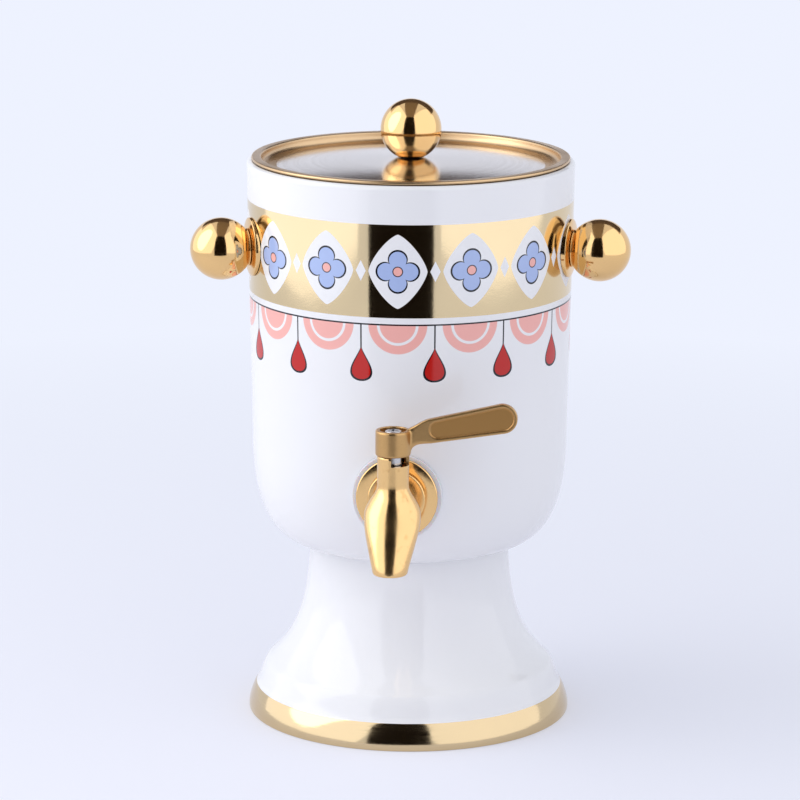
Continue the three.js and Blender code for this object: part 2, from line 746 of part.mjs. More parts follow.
function tapBody() {
  const collarEnd = collarReach + collarThickness;
  const barrelEnd = -stemY;
  const barrel = alongTap(turned([
    [0, shankEndReach],
    [shankRadius, shankEndReach],
    [shankRadius, collarReach],
    [collarRadius, collarReach],
    [collarRadius, collarEnd - collarThickness / 3],
    [collarRadius - collarThickness / 3, collarEnd],
    [barrelRadius, collarEnd + collarThickness / 3],
    [barrelRadius, barrelEnd],
    [0, barrelEnd],
  ], partSteps));
  const housing = rod(housingRadius, tapZ, housingTopZ, partSteps).translate(0, stemY, 0);
  const chamber = rod(chamberRadius, chamberFloorZ, housingTopZ + overrun, partSteps).translate(0, stemY, 0);
  const inlet = alongTap(rod(inletRadius, shankEndReach - overrun, -stemY, smallSteps));
  const clipGroove = ring(
    plugRadius - plugPlay, chamberRadius + clipWidth / 2,
    plugShoulderZ, plugShoulderZ + clipThickness + 2 * gap, partSteps,
  ).translate(0, stemY, 0);
  const notch = sector(
    stemRadius, housingRadius + overrun, -leverSwing - stopPlay, stopAngle + stopPlay,
    housingTopZ - stopDepth - gap, housingTopZ + overrun,
  ).translate(0, stemY, 0);
  let body = solid(barrel).add(solid(housing)).add(spoutSkin());
  for (const cut of [chamber, inlet, clipGroove, notch]) body = body.subtract(solid(cut));
  return piece('tap_body', body.subtract(spoutBore()), polishedGold);
}

// The turning plug. Its port faces -X when shut and the inlet when the lever is a quarter turn open.
function valvePlug() {
  const bottomZ = chamberFloorZ + gap;
  const tangZ = hubZ + socketRise;
  const topZ = tangZ + tangLength - gap;
  const grooveRadius = plugRadius - 2 * ringSection - gap;
  const grooves = [0, 1].flatMap((i) => {
    const low = tapZ + lowerRingRise + i * ringPitch - ringSection - gap;
    const high = low + 2 * (ringSection + gap);
    return [[plugRadius, low], [grooveRadius, low], [grooveRadius, high], [plugRadius, high]];
  });
  const spindle = turned([
    [0, bottomZ],
    [plugRadius, bottomZ],
    ...grooves,
    [plugRadius, plugShoulderZ],
    [stemRadius, plugShoulderZ],
    [stemRadius, tangZ - gap],
    [tangRadius, tangZ - gap],
    [tangRadius, topZ],
    [0, topZ],
  ], partSteps);
  const port = rod(plugPortRadius, bottomZ - overrun, tapZ, smallSteps);
  const side = rod(plugPortRadius, 0, plugRadius + overrun, smallSteps);
  side.rotateY(-Math.PI / 2).translate(0, 0, tapZ);
  const thread = rod(leverScrewRadius + gap, topZ - leverScrewLength, topZ + overrun, smallSteps);
  const flatWidth = tangRadius - tangFlat;
  const flats = [-1, 1].map((way) => block(
    flatWidth, 4 * tangRadius, tangLength + overrun,
    way * (tangFlat + flatWidth / 2), 0, tangZ + (tangLength + overrun) / 2,
  ));
  let plug = solid(spindle);
  for (const cut of [port, side, thread, ...flats]) plug = plug.subtract(solid(cut));
  return piece('valve_plug', plug, steel);
}

function sealRing(name, count) {
  const radius = plugRadius - ringSection;
  const z = tapZ + lowerRingRise + count * ringPitch;
  const section = arcOutline(radius, z, ringSection, 0, 360, sealSteps).slice(0, -1);
  return piece(name, turned(section, smallSteps), silicone);
}

// A spring clip, open at the back, that holds the plug down in its chamber.
function plugClip() {
  const z = plugShoulderZ + gap;
  const outerRadius = chamberRadius + clipWidth / 2 - gap;
  const whole = solid(ring(outerRadius - clipWidth, outerRadius, z, z + clipThickness, partSteps));
  const slotLength = outerRadius + overrun;
  const slot = block(clipGap, slotLength, clipThickness + overrun, 0, slotLength / 2, z);
  return piece('plug_clip', whole.subtract(solid(slot)), steel);
}

// The paddle's outline in the plane of the lever, from the root round its tip.
function paddleShape() {
  const tipX = leverReach - leverTipRadius;
  const shape = new THREE.Shape();
  shape.moveTo(leverRootReach, -leverRootBelow);
  shape.lineTo(leverShoulderReach, -leverShoulder);
  shape.lineTo(tipX, -leverTipRadius);
  shape.absarc(tipX, 0, leverTipRadius, -Math.PI / 2, Math.PI / 2, false);
  shape.lineTo(leverShoulderReach, leverShoulder);
  shape.quadraticCurveTo((leverRootReach + leverShoulderReach) / 2, leverShoulder - leverRootAbove / 2,
    leverRootReach, leverRootAbove);
  return shape;
}

// The sunk panel that follows the paddle's outline inside a margin.
function panelShape() {
  const tipX = leverReach - leverTipRadius;
  const startRadius = leverShoulder - panelMargin;
  const endRadius = leverTipRadius - panelMargin;
  const startX = leverShoulderReach + startRadius;
  const shape = new THREE.Shape();
  shape.absarc(startX, 0, startRadius, Math.PI / 2, (3 * Math.PI) / 2, false);
  shape.absarc(tipX, 0, endRadius, -Math.PI / 2, Math.PI / 2, false);
  return shape;
}

// Lays a plate drawn in the lever's own plane upright and tilts it up.
function asLever(geometry) {
  const tilt = THREE.MathUtils.degToRad(leverTilt);
  return geometry.rotateX(Math.PI / 2).rotateY(-tilt).translate(0, 0, hubZ + leverRise);
}

function paddle() {
  const settings = {
    depth: leverThickness - 2 * leverBevel, bevelEnabled: true, bevelThickness: leverBevel,
    bevelSize: leverBevel, bevelOffset: -leverBevel, bevelSegments: edgeSteps, curveSegments: curveSteps * 2,
  };
  const half = leverThickness / 2;
  const blank = new THREE.ExtrudeGeometry(paddleShape(), settings).translate(0, 0, leverBevel - half);
  let plate = solid(asLever(blank));
  const panel = { depth: panelDepth + overrun, bevelEnabled: false, curveSegments: curveSteps * 2 };
  for (const z of [-half - overrun, half - panelDepth]) {
    const cut = new THREE.ExtrudeGeometry(panelShape(), panel).translate(0, 0, z);
    plate = plate.subtract(solid(asLever(cut)));
  }
  return plate;
}

function tapLever() {
  const topZ = hubZ + hubHeight;
  const recessZ = topZ - hubRecessDepth;
  const socketZ = hubZ + socketRise;
  const edge = leverBevel;
  const hub = turned([
    [0, hubZ],
    [hubRadius, hubZ],
    [hubRadius, topZ - edge],
    [hubRadius - edge, topZ],
    [0, topZ],
  ], partSteps);
  const lug = sector(chamberRadius + gap, housingRadius, 0, stopAngle, housingTopZ - stopDepth, hubZ + edge);
  const recess = rod(hubRecessRadius, recessZ, topZ + overrun, partSteps);
  const bore = rod(stemRadius + gap, hubZ - overrun, socketZ, smallSteps);
  const tang = solid(rod(tangRadius + gap, socketZ - gap, socketZ + tangLength, smallSteps));
  const across = 2 * (tangFlat + gap);
  const flats = solid(block(across, across * 2, 2 * tangLength, 0, 0, socketZ + tangLength / 2));
  const screwHole = rod(leverScrewRadius + gap, socketZ, topZ, smallSteps);
  let lever = solid(hub).add(paddle()).add(solid(lug));
  for (const cut of [recess, bore, screwHole]) lever = lever.subtract(solid(cut));
  return piece('tap_lever', lever.subtract(tang.intersect(flats)), satinGold);
}

function leverHardware() {
  const washerZ = hubZ + hubHeight - hubRecessDepth + gap;
  const headZ = washerZ + leverWasherThickness + gap;
  const washer = ring(
    leverScrewRadius + gap, leverScrewHeadRadius, washerZ, washerZ + leverWasherThickness, smallSteps,
  );
  const blank = screw(leverScrewRadius, leverScrewHeadRadius, leverScrewHead, 0, leverScrewLength - gap);
  let bolt = solid(blank.rotateX(Math.PI).translate(0, 0, headZ));
  const arm = leverScrewHeadRadius;
  const slotZ = headZ + leverScrewHead / 2 + overrun / 2;
  for (const [width, depth] of [[arm, leverScrewCross], [leverScrewCross, arm]]) {
    bolt = bolt.subtract(solid(block(width, depth, overrun, 0, 0, slotZ)));
  }
  return [piece('lever_washer', washer, steel), piece('lever_screw', bolt, steel)];
}

// Everything that stands over the stem's own axis.
function valve() {
  const group = new THREE.Group();
  group.position.set(0, stemY, 0);
  group.add(
    valvePlug(),
    sealRing('lower_seal_ring', 0),
    sealRing('upper_seal_ring', 1),
    plugClip(),
    tapLever(),
    ...leverHardware(),
  );
  return group;
}

function dispenser() {
  const group = new THREE.Group();
  group.add(pedestal(), vesselBowl());
  group.add(lidDish(), lidGasket(), lidKnob(), ...lidHardware());
  group.add(handle(-1, 'left'), handle(1, 'right'));
  group.add(tapOuterWasher(), tapEscutcheon(), ...tapInnerHardware(), tapBody(), valve());
  // The frame's origin lies on the table under the middle of the whole dispenser.
  const [angle, turn] = [handleAngle, handleTurn].map(THREE.MathUtils.degToRad);
  group.position.x = -ballReach * Math.cos(wallTaper) * Math.cos(angle) * Math.sin(turn);
  group.position.y = (outletRadius - outletY - rimRadius) / 2;
  return group;
}

export default dispenser();
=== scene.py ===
"""The looks of a ceramic drink dispenser: a lidded vessel with a tap, on a flared stand.

Sizes are in millimetres and meshes are scaled to metres as they are made. The tap faces -Y, and
the turned pieces share the vessel's upright axis. Outlines are [radius, height] points that run
anticlockwise.
"""
from math import acos, atan2, cos, degrees, pi, radians, sin, sqrt

import bpy
from mathutils import Matrix, Vector


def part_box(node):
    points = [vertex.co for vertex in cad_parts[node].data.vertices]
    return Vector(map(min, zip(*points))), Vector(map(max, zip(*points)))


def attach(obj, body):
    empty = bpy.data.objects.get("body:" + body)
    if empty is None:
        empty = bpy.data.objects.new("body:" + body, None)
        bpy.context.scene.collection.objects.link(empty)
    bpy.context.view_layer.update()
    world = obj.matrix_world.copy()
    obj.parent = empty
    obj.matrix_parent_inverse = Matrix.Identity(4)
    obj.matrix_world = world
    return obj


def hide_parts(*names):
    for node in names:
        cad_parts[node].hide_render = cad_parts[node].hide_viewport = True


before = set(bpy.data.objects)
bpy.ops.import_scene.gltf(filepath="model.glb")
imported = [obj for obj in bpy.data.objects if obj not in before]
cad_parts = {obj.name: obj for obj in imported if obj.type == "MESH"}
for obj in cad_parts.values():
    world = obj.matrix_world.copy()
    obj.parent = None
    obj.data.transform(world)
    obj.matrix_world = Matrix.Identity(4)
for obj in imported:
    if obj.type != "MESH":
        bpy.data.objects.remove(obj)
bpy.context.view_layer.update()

MM = 0.001


def extent(node):
    """Lowest and highest corner of a CAD node at rest, in millimetres."""
    low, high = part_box(node)
    return low / MM, high / MM


# The clearance between pieces, and how far a tool runs past what it cuts
GAP = 0.3
OVERRUN = 2

# Stand
stand_low, stand_high = extent("pedestal")
AXIS_X, AXIS_Y, _ = (stand_low + stand_high) / 2
STAND_TOP = stand_high.z
FOOT_RADIUS = stand_high.x - AXIS_X
FOOT_WIDTH = 12.2
FOOT_INNER_RADIUS = FOOT_RADIUS - FOOT_WIDTH
FOOT_EDGE = 1
FOOT_LAND = 2.2
BAND_SLOPE = 2.2
BAND_INSET = 4.6
BAND_RADIUS = FOOT_RADIUS - BAND_INSET
BAND_TOP = 15.6
COVE_Z = 21
SHOULDER_INSET = 7.5
SHOULDER_RADIUS = FOOT_RADIUS - SHOULDER_INSET
FLARE_INSET = 11.2
FLARE_RADIUS = FOOT_RADIUS - FLARE_INSET
FLARE_Z = 30
NECK_RADIUS = 59.2
NECK_WALL = 6
NECK_EDGE = 1.2

# Vessel
SEAT_Z = STAND_TOP + GAP
RIM_Z = extent("vessel_bowl")[1].z
RIM_OVERHANG = 0.4
RIM_RADIUS = FOOT_RADIUS + RIM_OVERHANG
WALL = 5.5
TAPER_INSET = 3
CORNER_RADIUS = RIM_RADIUS - TAPER_INSET
CORNER_HEIGHT = 67.2
CORNER_Z = SEAT_Z + CORNER_HEIGHT
CORNER_POWER = 2.55
SEAT_RADIUS = 57.4
FLOOR = 7
FLOOR_RADIUS = 50
VESSEL_FOOT_DEPTH = 5
VESSEL_FOOT_WIDTH = 5
VESSEL_FOOT_PLAY = 0.8
# Radius at the foot of the straight wall, and radius and height of the base
OUTSIDE = (CORNER_RADIUS, SEAT_RADIUS, SEAT_Z)
INSIDE = (CORNER_RADIUS - WALL, FLOOR_RADIUS, SEAT_Z + FLOOR)
WALL_TAPER = atan2(RIM_RADIUS - CORNER_RADIUS, RIM_Z - CORNER_Z)

# Lid
gasket_low, gasket_high = extent("lid_gasket")
SHEET = 1.2
FLANGE_RADIUS = extent("lid_dish")[1].x - AXIS_X
FLANGE_Z = RIM_Z + GAP
FLANGE = 2
FLANGE_TOP = FLANGE_Z + FLANGE
GASKET = 1.3
GASKET_RIB = 0.5
GASKET_RIBS = 2
GASKET_RADIUS = gasket_high.x - AXIS_X
DISH_RADIUS = GASKET_RADIUS - GASKET - GAP
RECESS_DEPTH = 7.4
GUTTER_WIDTH = 2.4
GUTTER_Z = FLANGE_TOP - RECESS_DEPTH
DOME_RISE = 6.4
DOME_TOP = GUTTER_Z + DOME_RISE
DOME_FOOT_RADIUS = DISH_RADIUS - SHEET - GUTTER_WIDTH
LID_COVE = 9
PLATE_RISE = 4.4
KNOB_RADIUS = 17.95
KNOB_FLAT = 7.7
LID_SCREW_RADIUS = 2.4
# Radius and height
LID_SCREW_HEAD = (4.6, 2.8)
LID_WASHER = (7, 1)

# Ball handles
SIDES = {"left": -1, "right": 1}
HANDLE_ANGLE = radians(75.4)
HANDLE_TURN = radians(4.3)
HANDLE_DROP = 48.2
HANDLE_Z = RIM_Z - HANDLE_DROP
HANDLE_HOLE_RADIUS = 4
BALL_RADIUS = 18.25
NECK_END_RADIUS = 10.6
NECK_LENGTH = 15.6
NECK_BEAD = 0.5
NECK_BLEND_RADIUS = 12.8
ROSETTE_RADIUS = 17.1
ROSETTE_RISE = 2.4
ROSETTE_EDGE = 1.1
HANDLE_WASHER = 0.5
HANDLE_WASHER_RADIUS = 13
HANDLE_SCREW_RADIUS = 3

# Tap
esc_low, esc_high = extent("tap_escutcheon")
body_low, body_high = extent("tap_body")
ring_low, ring_high = extent("lower_seal_ring")
plug_low, plug_high = extent("valve_plug")
TAP_Z = (esc_low.z + esc_high.z) / 2
TAP_HOLE_RADIUS = 9
ESCUTCHEON_RADIUS = esc_high.x - AXIS_X
ESCUTCHEON_BACK = AXIS_Y - esc_high.y
ESCUTCHEON_FRONT = AXIS_Y - esc_low.y
ESCUTCHEON_LAND = 17.4
ESCUTCHEON_FALL = 0.05
TAP_WASHER_RADIUS = 25.8
SHANK_RADIUS = 8
SHANK_END = AXIS_Y - body_high.y
SHANK_PITCH = 1.5
INLET_RADIUS = 5
COLLAR_RADIUS = body_high.x - AXIS_X
COLLAR = 2.5
BARREL_RADIUS = 12.2
STEM_Y = (ring_low.y + ring_high.y) / 2
STEM_REACH = AXIS_Y - STEM_Y
HOUSING_RADIUS = 9.1
HOUSING_TOP = body_high.z
OUTLET_Z = body_low.z
OUTLET_RADIUS = 10.1
OUTLET_REACH = 19
SPOUT_RISE = 15.5
SPOUT_TOP = TAP_Z + SPOUT_RISE
SPOUT_HALF_WIDTH = 16.2
SPOUT_WALL = 3
LIP_ROUNDING = 1.3
CHAMBER_RADIUS = 7
CHAMBER_DROP = 7.5
CHAMBER_FLOOR = TAP_Z - CHAMBER_DROP
STEM_RADIUS = 5
TANG_RADIUS = 3
PLUG_RADIUS = 6.7
PLUG_RISE = 19.5
PLUG_SHOULDER = TAP_Z + PLUG_RISE
PORT_RADIUS = 4.2

# Lever
HUB_RADIUS = 10.1
HUB_Z = HOUSING_TOP + GAP
HUB_HEIGHT = 14.6
HUB_TOP = HUB_Z + HUB_HEIGHT
HUB_EDGE = 0.9
HUB_SOCKET = 1.5
HUB_RECESS_RADIUS = 7.6
HUB_RECESS_DEPTH = 3.2
LEVER_SCREW_RADIUS = 2
STOP_DEPTH = 4.8
STOP_ANGLE = 28
STOP_PLAY = 3
SWING = 90
LEVER_REACH = 71.5
LEVER_TILT = radians(11.1)
LEVER_RISE = 10.2
LEVER_THICKNESS = 4
TIP_RADIUS = 8.5
ROOT_REACH = 8.5
ROOT_BELOW = 6.4
ROOT_ABOVE = 2.4
ROOT_TUCK = 3
ROOT_STEP = 0.2
ROOT_PULL = (4, 1.4)
ROOT_FILLET = 4.6
FILLET_TUCK = 0.4
FILLET_LEAN = 0.1
FILLET_RUN = 1
ROOT_SOFT_OUT = 1
ROOT_SOFT_SHARE = 1.6
SHOULDER_REACH = 21
SHOULDER_HALF = 6.9
SHOULDER_PULL = (4, 0.6)
PANEL_MARGIN = 1.9
PANEL_DEPTH = 0.8
# Painted shade in the lever's sunk panels: the shares of their depth at which it is full and at which it is
# gone, and the length over which it fades in past the shoulder
PANEL_SHADE_SHARES = (0.7, 0.2)
PANEL_SHADE_FADE = 1

# Fineness of round shapes and of remeshing, softened edges, and the angles that stay crisp
WIDE_STEPS = 192
PART_STEPS = 96
SMALL_STEPS = 48
CURVE_STEPS = 24
EDGE_STEPS = 6
RING_EDGE = 0.2
THIN_EDGE = 0.1
CREASE = 32
MELT_CREASE = 60
TAP_VOXEL = 0.42
LEVER_VOXEL = 0.32


# Geometry

def arc(r, z, radius, start, end, steps=EDGE_STEPS):
    """Points on an arc of an outline, its angles in degrees from the outward direction."""
    angles = [radians(start + (end - start) * i / steps) for i in range(steps + 1)]
    return [(r + radius * cos(a), z + radius * sin(a)) for a in angles]


def bezier(p0, p1, p2, p3, steps=CURVE_STEPS):
    points = []
    for i in range(steps + 1):
        t = i / steps
        shares = ((1 - t) ** 3, 3 * t * (1 - t) ** 2, 3 * t * t * (1 - t), t ** 3)
        points.append(tuple(sum(s * p[k] for s, p in zip(shares, (p0, p1, p2, p3))) for k in (0, 1)))
    return points


def wall_radius(z):
    """Radius of the vessel's wall: a straight taper above a squarish rounded corner."""
    if z >= CORNER_Z:
        return CORNER_RADIUS + (z - CORNER_Z) / (RIM_Z - CORNER_Z) * (RIM_RADIUS - CORNER_RADIUS)
    share = (CORNER_Z - z) / (CORNER_Z - SEAT_Z)
    reach = (1 - share ** CORNER_POWER) ** (1 / CORNER_POWER)
    return SEAT_RADIUS + reach * (CORNER_RADIUS - SEAT_RADIUS)


def corner(shape, grow=0.0):
    """The corner's outline from the base up to the foot of the wall."""
    foot_radius, base_radius, base_z = shape
    points = []
    for i in range(CURVE_STEPS, -1, -1):
        angle = i / CURVE_STEPS * pi / 2
        out = max(cos(angle), 0) ** (2 / CORNER_POWER)
        down = sin(angle) ** (2 / CORNER_POWER)
        points.append((base_radius + grow + out * (foot_radius - base_radius),
                       CORNER_Z - down * (CORNER_Z - base_z) - grow))
    return points


def behind(wall, radius):
    """A height safely behind a round wall over the whole of a washer's radius."""
    sag = wall - sqrt(wall ** 2 - radius ** 2)
    return wall - sag - OVERRUN


def shown(name, data):
    obj = bpy.data.objects.new(name, data)
    bpy.context.scene.collection.objects.link(obj)
    return obj


def piece(name, verts, faces, finishes, zones=None):
    """A shown mesh from corners in millimetres; zones holds each face's index into finishes."""
    mesh = bpy.data.meshes.new(name)
    mesh.from_pydata([Vector(v) * MM for v in verts], [], faces)
    for finish in finishes:
        mesh.materials.append(FINISHES[finish])
    if zones:
        mesh.polygons.foreach_set("material_index", zones)
    return smooth(shown(name, mesh))


def smooth(obj, crease=CREASE):
    """Smooth shading, with edges sharper than crease degrees left crisp."""
    obj.data.shade_smooth()
    obj.data.set_sharp_from_angle(angle=radians(crease))
    return obj


def turned(name, outline, finishes, place=None, steps=PART_STEPS, zone=None):
    """An outline turned about Z and set by the matrix place. It runs from axis to axis, or is
    closed into a ring. zone gives a finish index for the middle of each of its segments."""
    place = place or upright()
    verts = []
    rings = []
    for r, z in outline:
        count = steps if r > 0 else 1
        rings.append(range(len(verts), len(verts) + count))
        for j in range(count):
            angle = 2 * pi * j / steps
            verts.append(place @ Vector((r * cos(angle), r * sin(angle), z)))
    segments = list(zip(range(len(outline) - 1), range(1, len(outline))))
    if outline[0][0] > 0:
        segments.append((len(outline) - 1, 0))
    faces = []
    zones = []
    for i, k in segments:
        a, b = rings[i], rings[k]
        middle = [(outline[i][n] + outline[k][n]) / 2 for n in (0, 1)]
        for j in range(steps):
            n = (j + 1) % steps
            corners = (a[j % len(a)], a[n % len(a)], b[n % len(b)], b[j % len(b)])
            faces.append(tuple(dict.fromkeys(corners)))
            zones.append(zone(*middle) if zone else 0)
    return piece(name, verts, faces, finishes, zones)


def ring(name, inner, outer, low, high, finish, place=None, steps=PART_STEPS, edge=RING_EDGE):
    """A flat ring with softened edges."""
    outline = [
        (inner, low + edge), (inner + edge, low), (outer - edge, low), (outer, low + edge),
        (outer, high - edge), (outer - edge, high), (inner + edge, high), (inner, high - edge),
    ]
    return turned(name, outline, [finish], place, steps)


def rod(radius, low, high, place=None, steps=SMALL_STEPS):
    """A plain round tool for cutting."""
    return turned("tool", [(0, low), (radius, low), (radius, high), (0, high)], [], place, steps)


def prism(name, outline, low, high, finishes, place):
    """A flat outline of (x, y) points raised from low to high and set by the matrix place."""
    count = len(outline)
    verts = [place @ Vector((x, y, z)) for z in (low, high) for x, y in outline]
    faces = [tuple(reversed(range(count))), tuple(range(count, 2 * count))]
    for j in range(count):
        n = (j + 1) % count
        faces.append((j, n, count + n, count + j))
    return piece(name, verts, faces, finishes)


def loft(name, rings, finishes):
    """A closed skin over a stack of rings of equal count, each anticlockwise from above."""
    count = len(rings[0])
    verts = [point for points in rings for point in points]
    faces = [tuple(reversed(range(count)))]
    for i in range(0, len(verts) - count, count):
        for j in range(count):
            n = (j + 1) % count
            faces.append((i + j, i + n, i + count + n, i + count + j))
    faces.append(tuple(range(len(verts) - count, len(verts))))
    return piece(name, verts, faces, finishes)


def upright(z=0.0):
    """A place on the vessel's axis."""
    return Matrix.Translation((AXIS_X, AXIS_Y, z))


def over_stem(z=0.0):
    """A place on the axis of the tap's upright stem."""
    return Matrix.Translation((AXIS_X, STEM_Y, z))


def spin(angle, axis):
    return Matrix.Rotation(angle, 4, axis)


def applied(obj):
    """Settles an object's modifiers into its mesh."""
    evaluated = obj.evaluated_get(bpy.context.evaluated_depsgraph_get())
    mesh = bpy.data.meshes.new_from_object(evaluated)
    obj.modifiers.clear()
    obj.data = mesh
    return obj


def combine(obj, tools, operation="DIFFERENCE"):
    """Joins tools to an object, or cuts it by them, and removes the tools."""
    for tool in tools:
        modifier = obj.modifiers.new("combine", "BOOLEAN")
        modifier.operation = operation
        modifier.solver = "EXACT"
        modifier.object = tool
    applied(obj)
    for tool in tools:
        bpy.data.objects.remove(tool)
    return smooth(obj)


def melt(obj, voxel, rounds):
    """Remeshes an object finely and evens it out, so that its joins run into each other."""
    remesh = obj.modifiers.new("remesh", "REMESH")
    remesh.mode = "VOXEL"
    remesh.voxel_size = voxel * MM
    return evened(obj, rounds)


def evened(obj, rounds, group=""):
    """Evens out a mesh, or the part of it in a vertex group."""
    even = obj.modifiers.new("even", "SMOOTH")
    even.vertex_group = group
    even.factor = 0.5
    even.iterations = rounds
    return smooth(applied(obj), MELT_CREASE)


def soften(obj, centre, reach, rounds):
    """Evens an object out about a point in millimetres, fading to nothing at a reach from it."""
    group = obj.vertex_groups.new(name="soft")
    for vertex in obj.data.vertices:
        away = (vertex.co / MM - centre).length / reach
        if away < 1:
            group.add([vertex.index], 1 - away ** 2, "REPLACE")
    return evened(obj, rounds, group.name)


# Materials

class Value:
    """A number that shader nodes work out, with arithmetic as in Python."""

    def __init__(self, nodes, socket):
        self.nodes = nodes
        self.socket = socket

    def math(self, operation, *others, clamp=False):
        node = self.nodes.add("ShaderNodeMath", operation=operation, use_clamp=clamp)
        for slot, other in zip(node.inputs, (self, *others)):
            self.nodes.feed(slot, other)
        return Value(self.nodes, node.outputs[0])

    def __add__(self, other):
        return self.math("ADD", other)

    def __sub__(self, other):
        return self.math("SUBTRACT", other)

    def __mul__(self, other):
        return self.math("MULTIPLY", other)

    def __truediv__(self, other):
        return self.math("DIVIDE", other)

    def __abs__(self):
        return self.math("ABSOLUTE")

    def power(self, exponent):
        return self.math("POWER", exponent)

    def most(self, other):
        return self.math("MAXIMUM", other)


class Nodes:
    """The node tree of a new material, with its surface shader ready."""

    def __init__(self, name, colour, metallic, roughness):
        self.material = bpy.data.materials.new(name)
        self.material.use_nodes = True
        self.tree = self.material.node_tree
        self.shader = self.tree.nodes["Principled BSDF"]
        self.shader.inputs["Base Color"].default_value = (*colour, 1)
        self.shader.inputs["Metallic"].default_value = metallic
        self.shader.inputs["Roughness"].default_value = roughness

    def add(self, kind, **settings):
        node = self.tree.nodes.new(kind)
        for key, value in settings.items():
            setattr(node, key, value)
        return node

    def link(self, output, slot):
        self.tree.links.new(output, slot)

    def feed(self, slot, value):
        """Sets a socket to a number or colour, or links a value to it."""
        if isinstance(value, Value):
            self.link(value.socket, slot)
        elif hasattr(slot.default_value, "__len__"):
            slot.default_value = (*value, 1)[:len(slot.default_value)]
        else:
            slot.default_value = value

    def axes(self, kind):
        """The three numbers of a kind of coordinates."""
        coordinates = self.add("ShaderNodeTexCoord")
        split = self.add("ShaderNodeSeparateXYZ")
        self.link(coordinates.outputs[kind], split.inputs[0])
        return [Value(self, split.outputs[axis]) for axis in "XYZ"]

    def place(self):
        """The point in millimetres: across, towards the back from the vessel's axis, and up."""
        x, y, z = (value / MM for value in self.axes("Object"))
        return x - AXIS_X, y - AXIS_Y, z

    def facing_side(self):
        """1 on faces square to the piece's own Y, falling to 0 on those that turn from it."""
        return self.ramp(abs(self.axes("Normal")[1]), *SIDE_FACING)

    def noise(self, scale, detail, stretch=(1, 1, 1), point=None):
        """Noise of about 0 to 1, scale cells to the metre, or over a point given as 3 values."""
        node = self.add("ShaderNodeTexNoise")
        node.inputs["Scale"].default_value = scale
        node.inputs["Detail"].default_value = detail
        if point:
            source = self.add("ShaderNodeCombineXYZ")
            for slot, value in zip(source.inputs, point):
                self.feed(slot, value)
        else:
            source = self.add("ShaderNodeMapping")
            source.inputs["Scale"].default_value = stretch
            self.link(self.add("ShaderNodeTexCoord").outputs["Object"], source.inputs["Vector"])
        self.link(source.outputs[0], node.inputs["Vector"])
        return Value(self, node.outputs[0])

    def streaks(self, values, cells, detail):
        """Noise over 3 values, each with its own number of cells to the unit."""
        return self.noise(1, detail, point=[value * count for value, count in zip(values, cells)])

    def ramp(self, value, low, high, to_low=0, to_high=1):
        """Takes a value from the stretch low to high over to the stretch to_low to to_high."""
        node = self.add("ShaderNodeMapRange")
        for slot, number in zip(node.inputs[1:5], (low, high, to_low, to_high)):
            slot.default_value = number
        self.feed(node.inputs[0], value)
        return Value(self, node.outputs[0])

    def spread(self, noise, to_low, to_high):
        """Takes the middle stretch of a noise over to the stretch to_low to to_high."""
        return self.ramp(noise, *NOISE_MIDDLE, to_low, to_high)

    def mix(self, share, first, second):
        """A colour that goes from first to second as share goes from 0 to 1."""
        node = self.add("ShaderNodeMix", data_type="RGBA")
        for slot, value in zip(MIX_SLOTS, (share, first, second)):
            self.feed(node.inputs[slot], value)
        return Value(self, node.outputs[MIX_RESULT])

    def tint(self, share, colour, darker):
        """A colour that goes darker, down to a share of itself, as share goes from 0 to 1."""
        return self.mix(share, colour, tuple(c * darker for c in colour))

    def bump(self, height, depth, strength):
        """Relief of the given depth in millimetres."""
        node = self.add("ShaderNodeBump")
        node.inputs["Strength"].default_value = strength
        node.inputs["Distance"].default_value = depth * MM
        self.feed(node.inputs["Height"], height)
        self.link(node.outputs[0], self.shader.inputs["Normal"])

    def surface(self, **values):
        for name, value in values.items():
            self.feed(self.shader.inputs[name.replace("_", " ").title()], value)

    def skin(self, colour, roughness, relief, depth, strength):
        """The finished material, with its relief's depth in millimetres."""
        self.surface(base_color=colour, roughness=roughness)
        self.bump(relief, depth, strength)
        return self.material


# The mix node's sockets for its share, its two colours and its mixed colour
MIX_SLOTS = (0, 6, 7)
MIX_RESULT = 2
NOISE_MIDDLE = (0.3, 0.7)
SIDE_FACING = (0.75, 0.95)
SILICONE_DEPTH = 2
WHITE = (0.86, 0.858, 0.862)
GOLD = (0.87, 0.565, 0.25)
LUSTRE = (0.77, 0.61, 0.37)
FOOT_LUSTRE = (0.69, 0.53, 0.31)
SATIN = (0.60, 0.365, 0.15)
# Painted shade colour for the floors of the lever's sunk panels
SATIN_PAINTED_SHADE = (0.50, 0.275, 0.095)
STAIN = (0.66, 0.36, 0.13)
PALE_GOLD = (0.78, 0.73, 0.69)
RIM_GOLD = (0.66, 0.46, 0.26)
STEEL = (0.62, 0.62, 0.63)
MILKY = (0.78, 0.79, 0.83)
BISCUIT = (0.74, 0.69, 0.62)
BLUE = (0.40, 0.50, 0.78)
PINK = (0.90, 0.45, 0.40)
RED = (0.52, 0.012, 0.008)
INK = (0.006, 0.006, 0.012)


def glazed(nodes):
    """White glaze: faint clouding of its colour, and the long slow waves of a poured skin."""
    white = nodes.tint(nodes.noise(scale=14, detail=4), WHITE, darker=0.975)
    waves = nodes.noise(scale=55, detail=2)
    pits = nodes.noise(scale=900, detail=2)
    nodes.bump(waves * 0.7 + pits * 0.12, depth=0.09, strength=0.5)
    return white, nodes.spread(nodes.noise(scale=30, detail=3), 0.06, 0.10)


def glaze():
    nodes = Nodes("glaze", WHITE, metallic=0, roughness=0.08)
    white, roughness = glazed(nodes)
    nodes.surface(base_color=white, roughness=roughness)
    return nodes.material


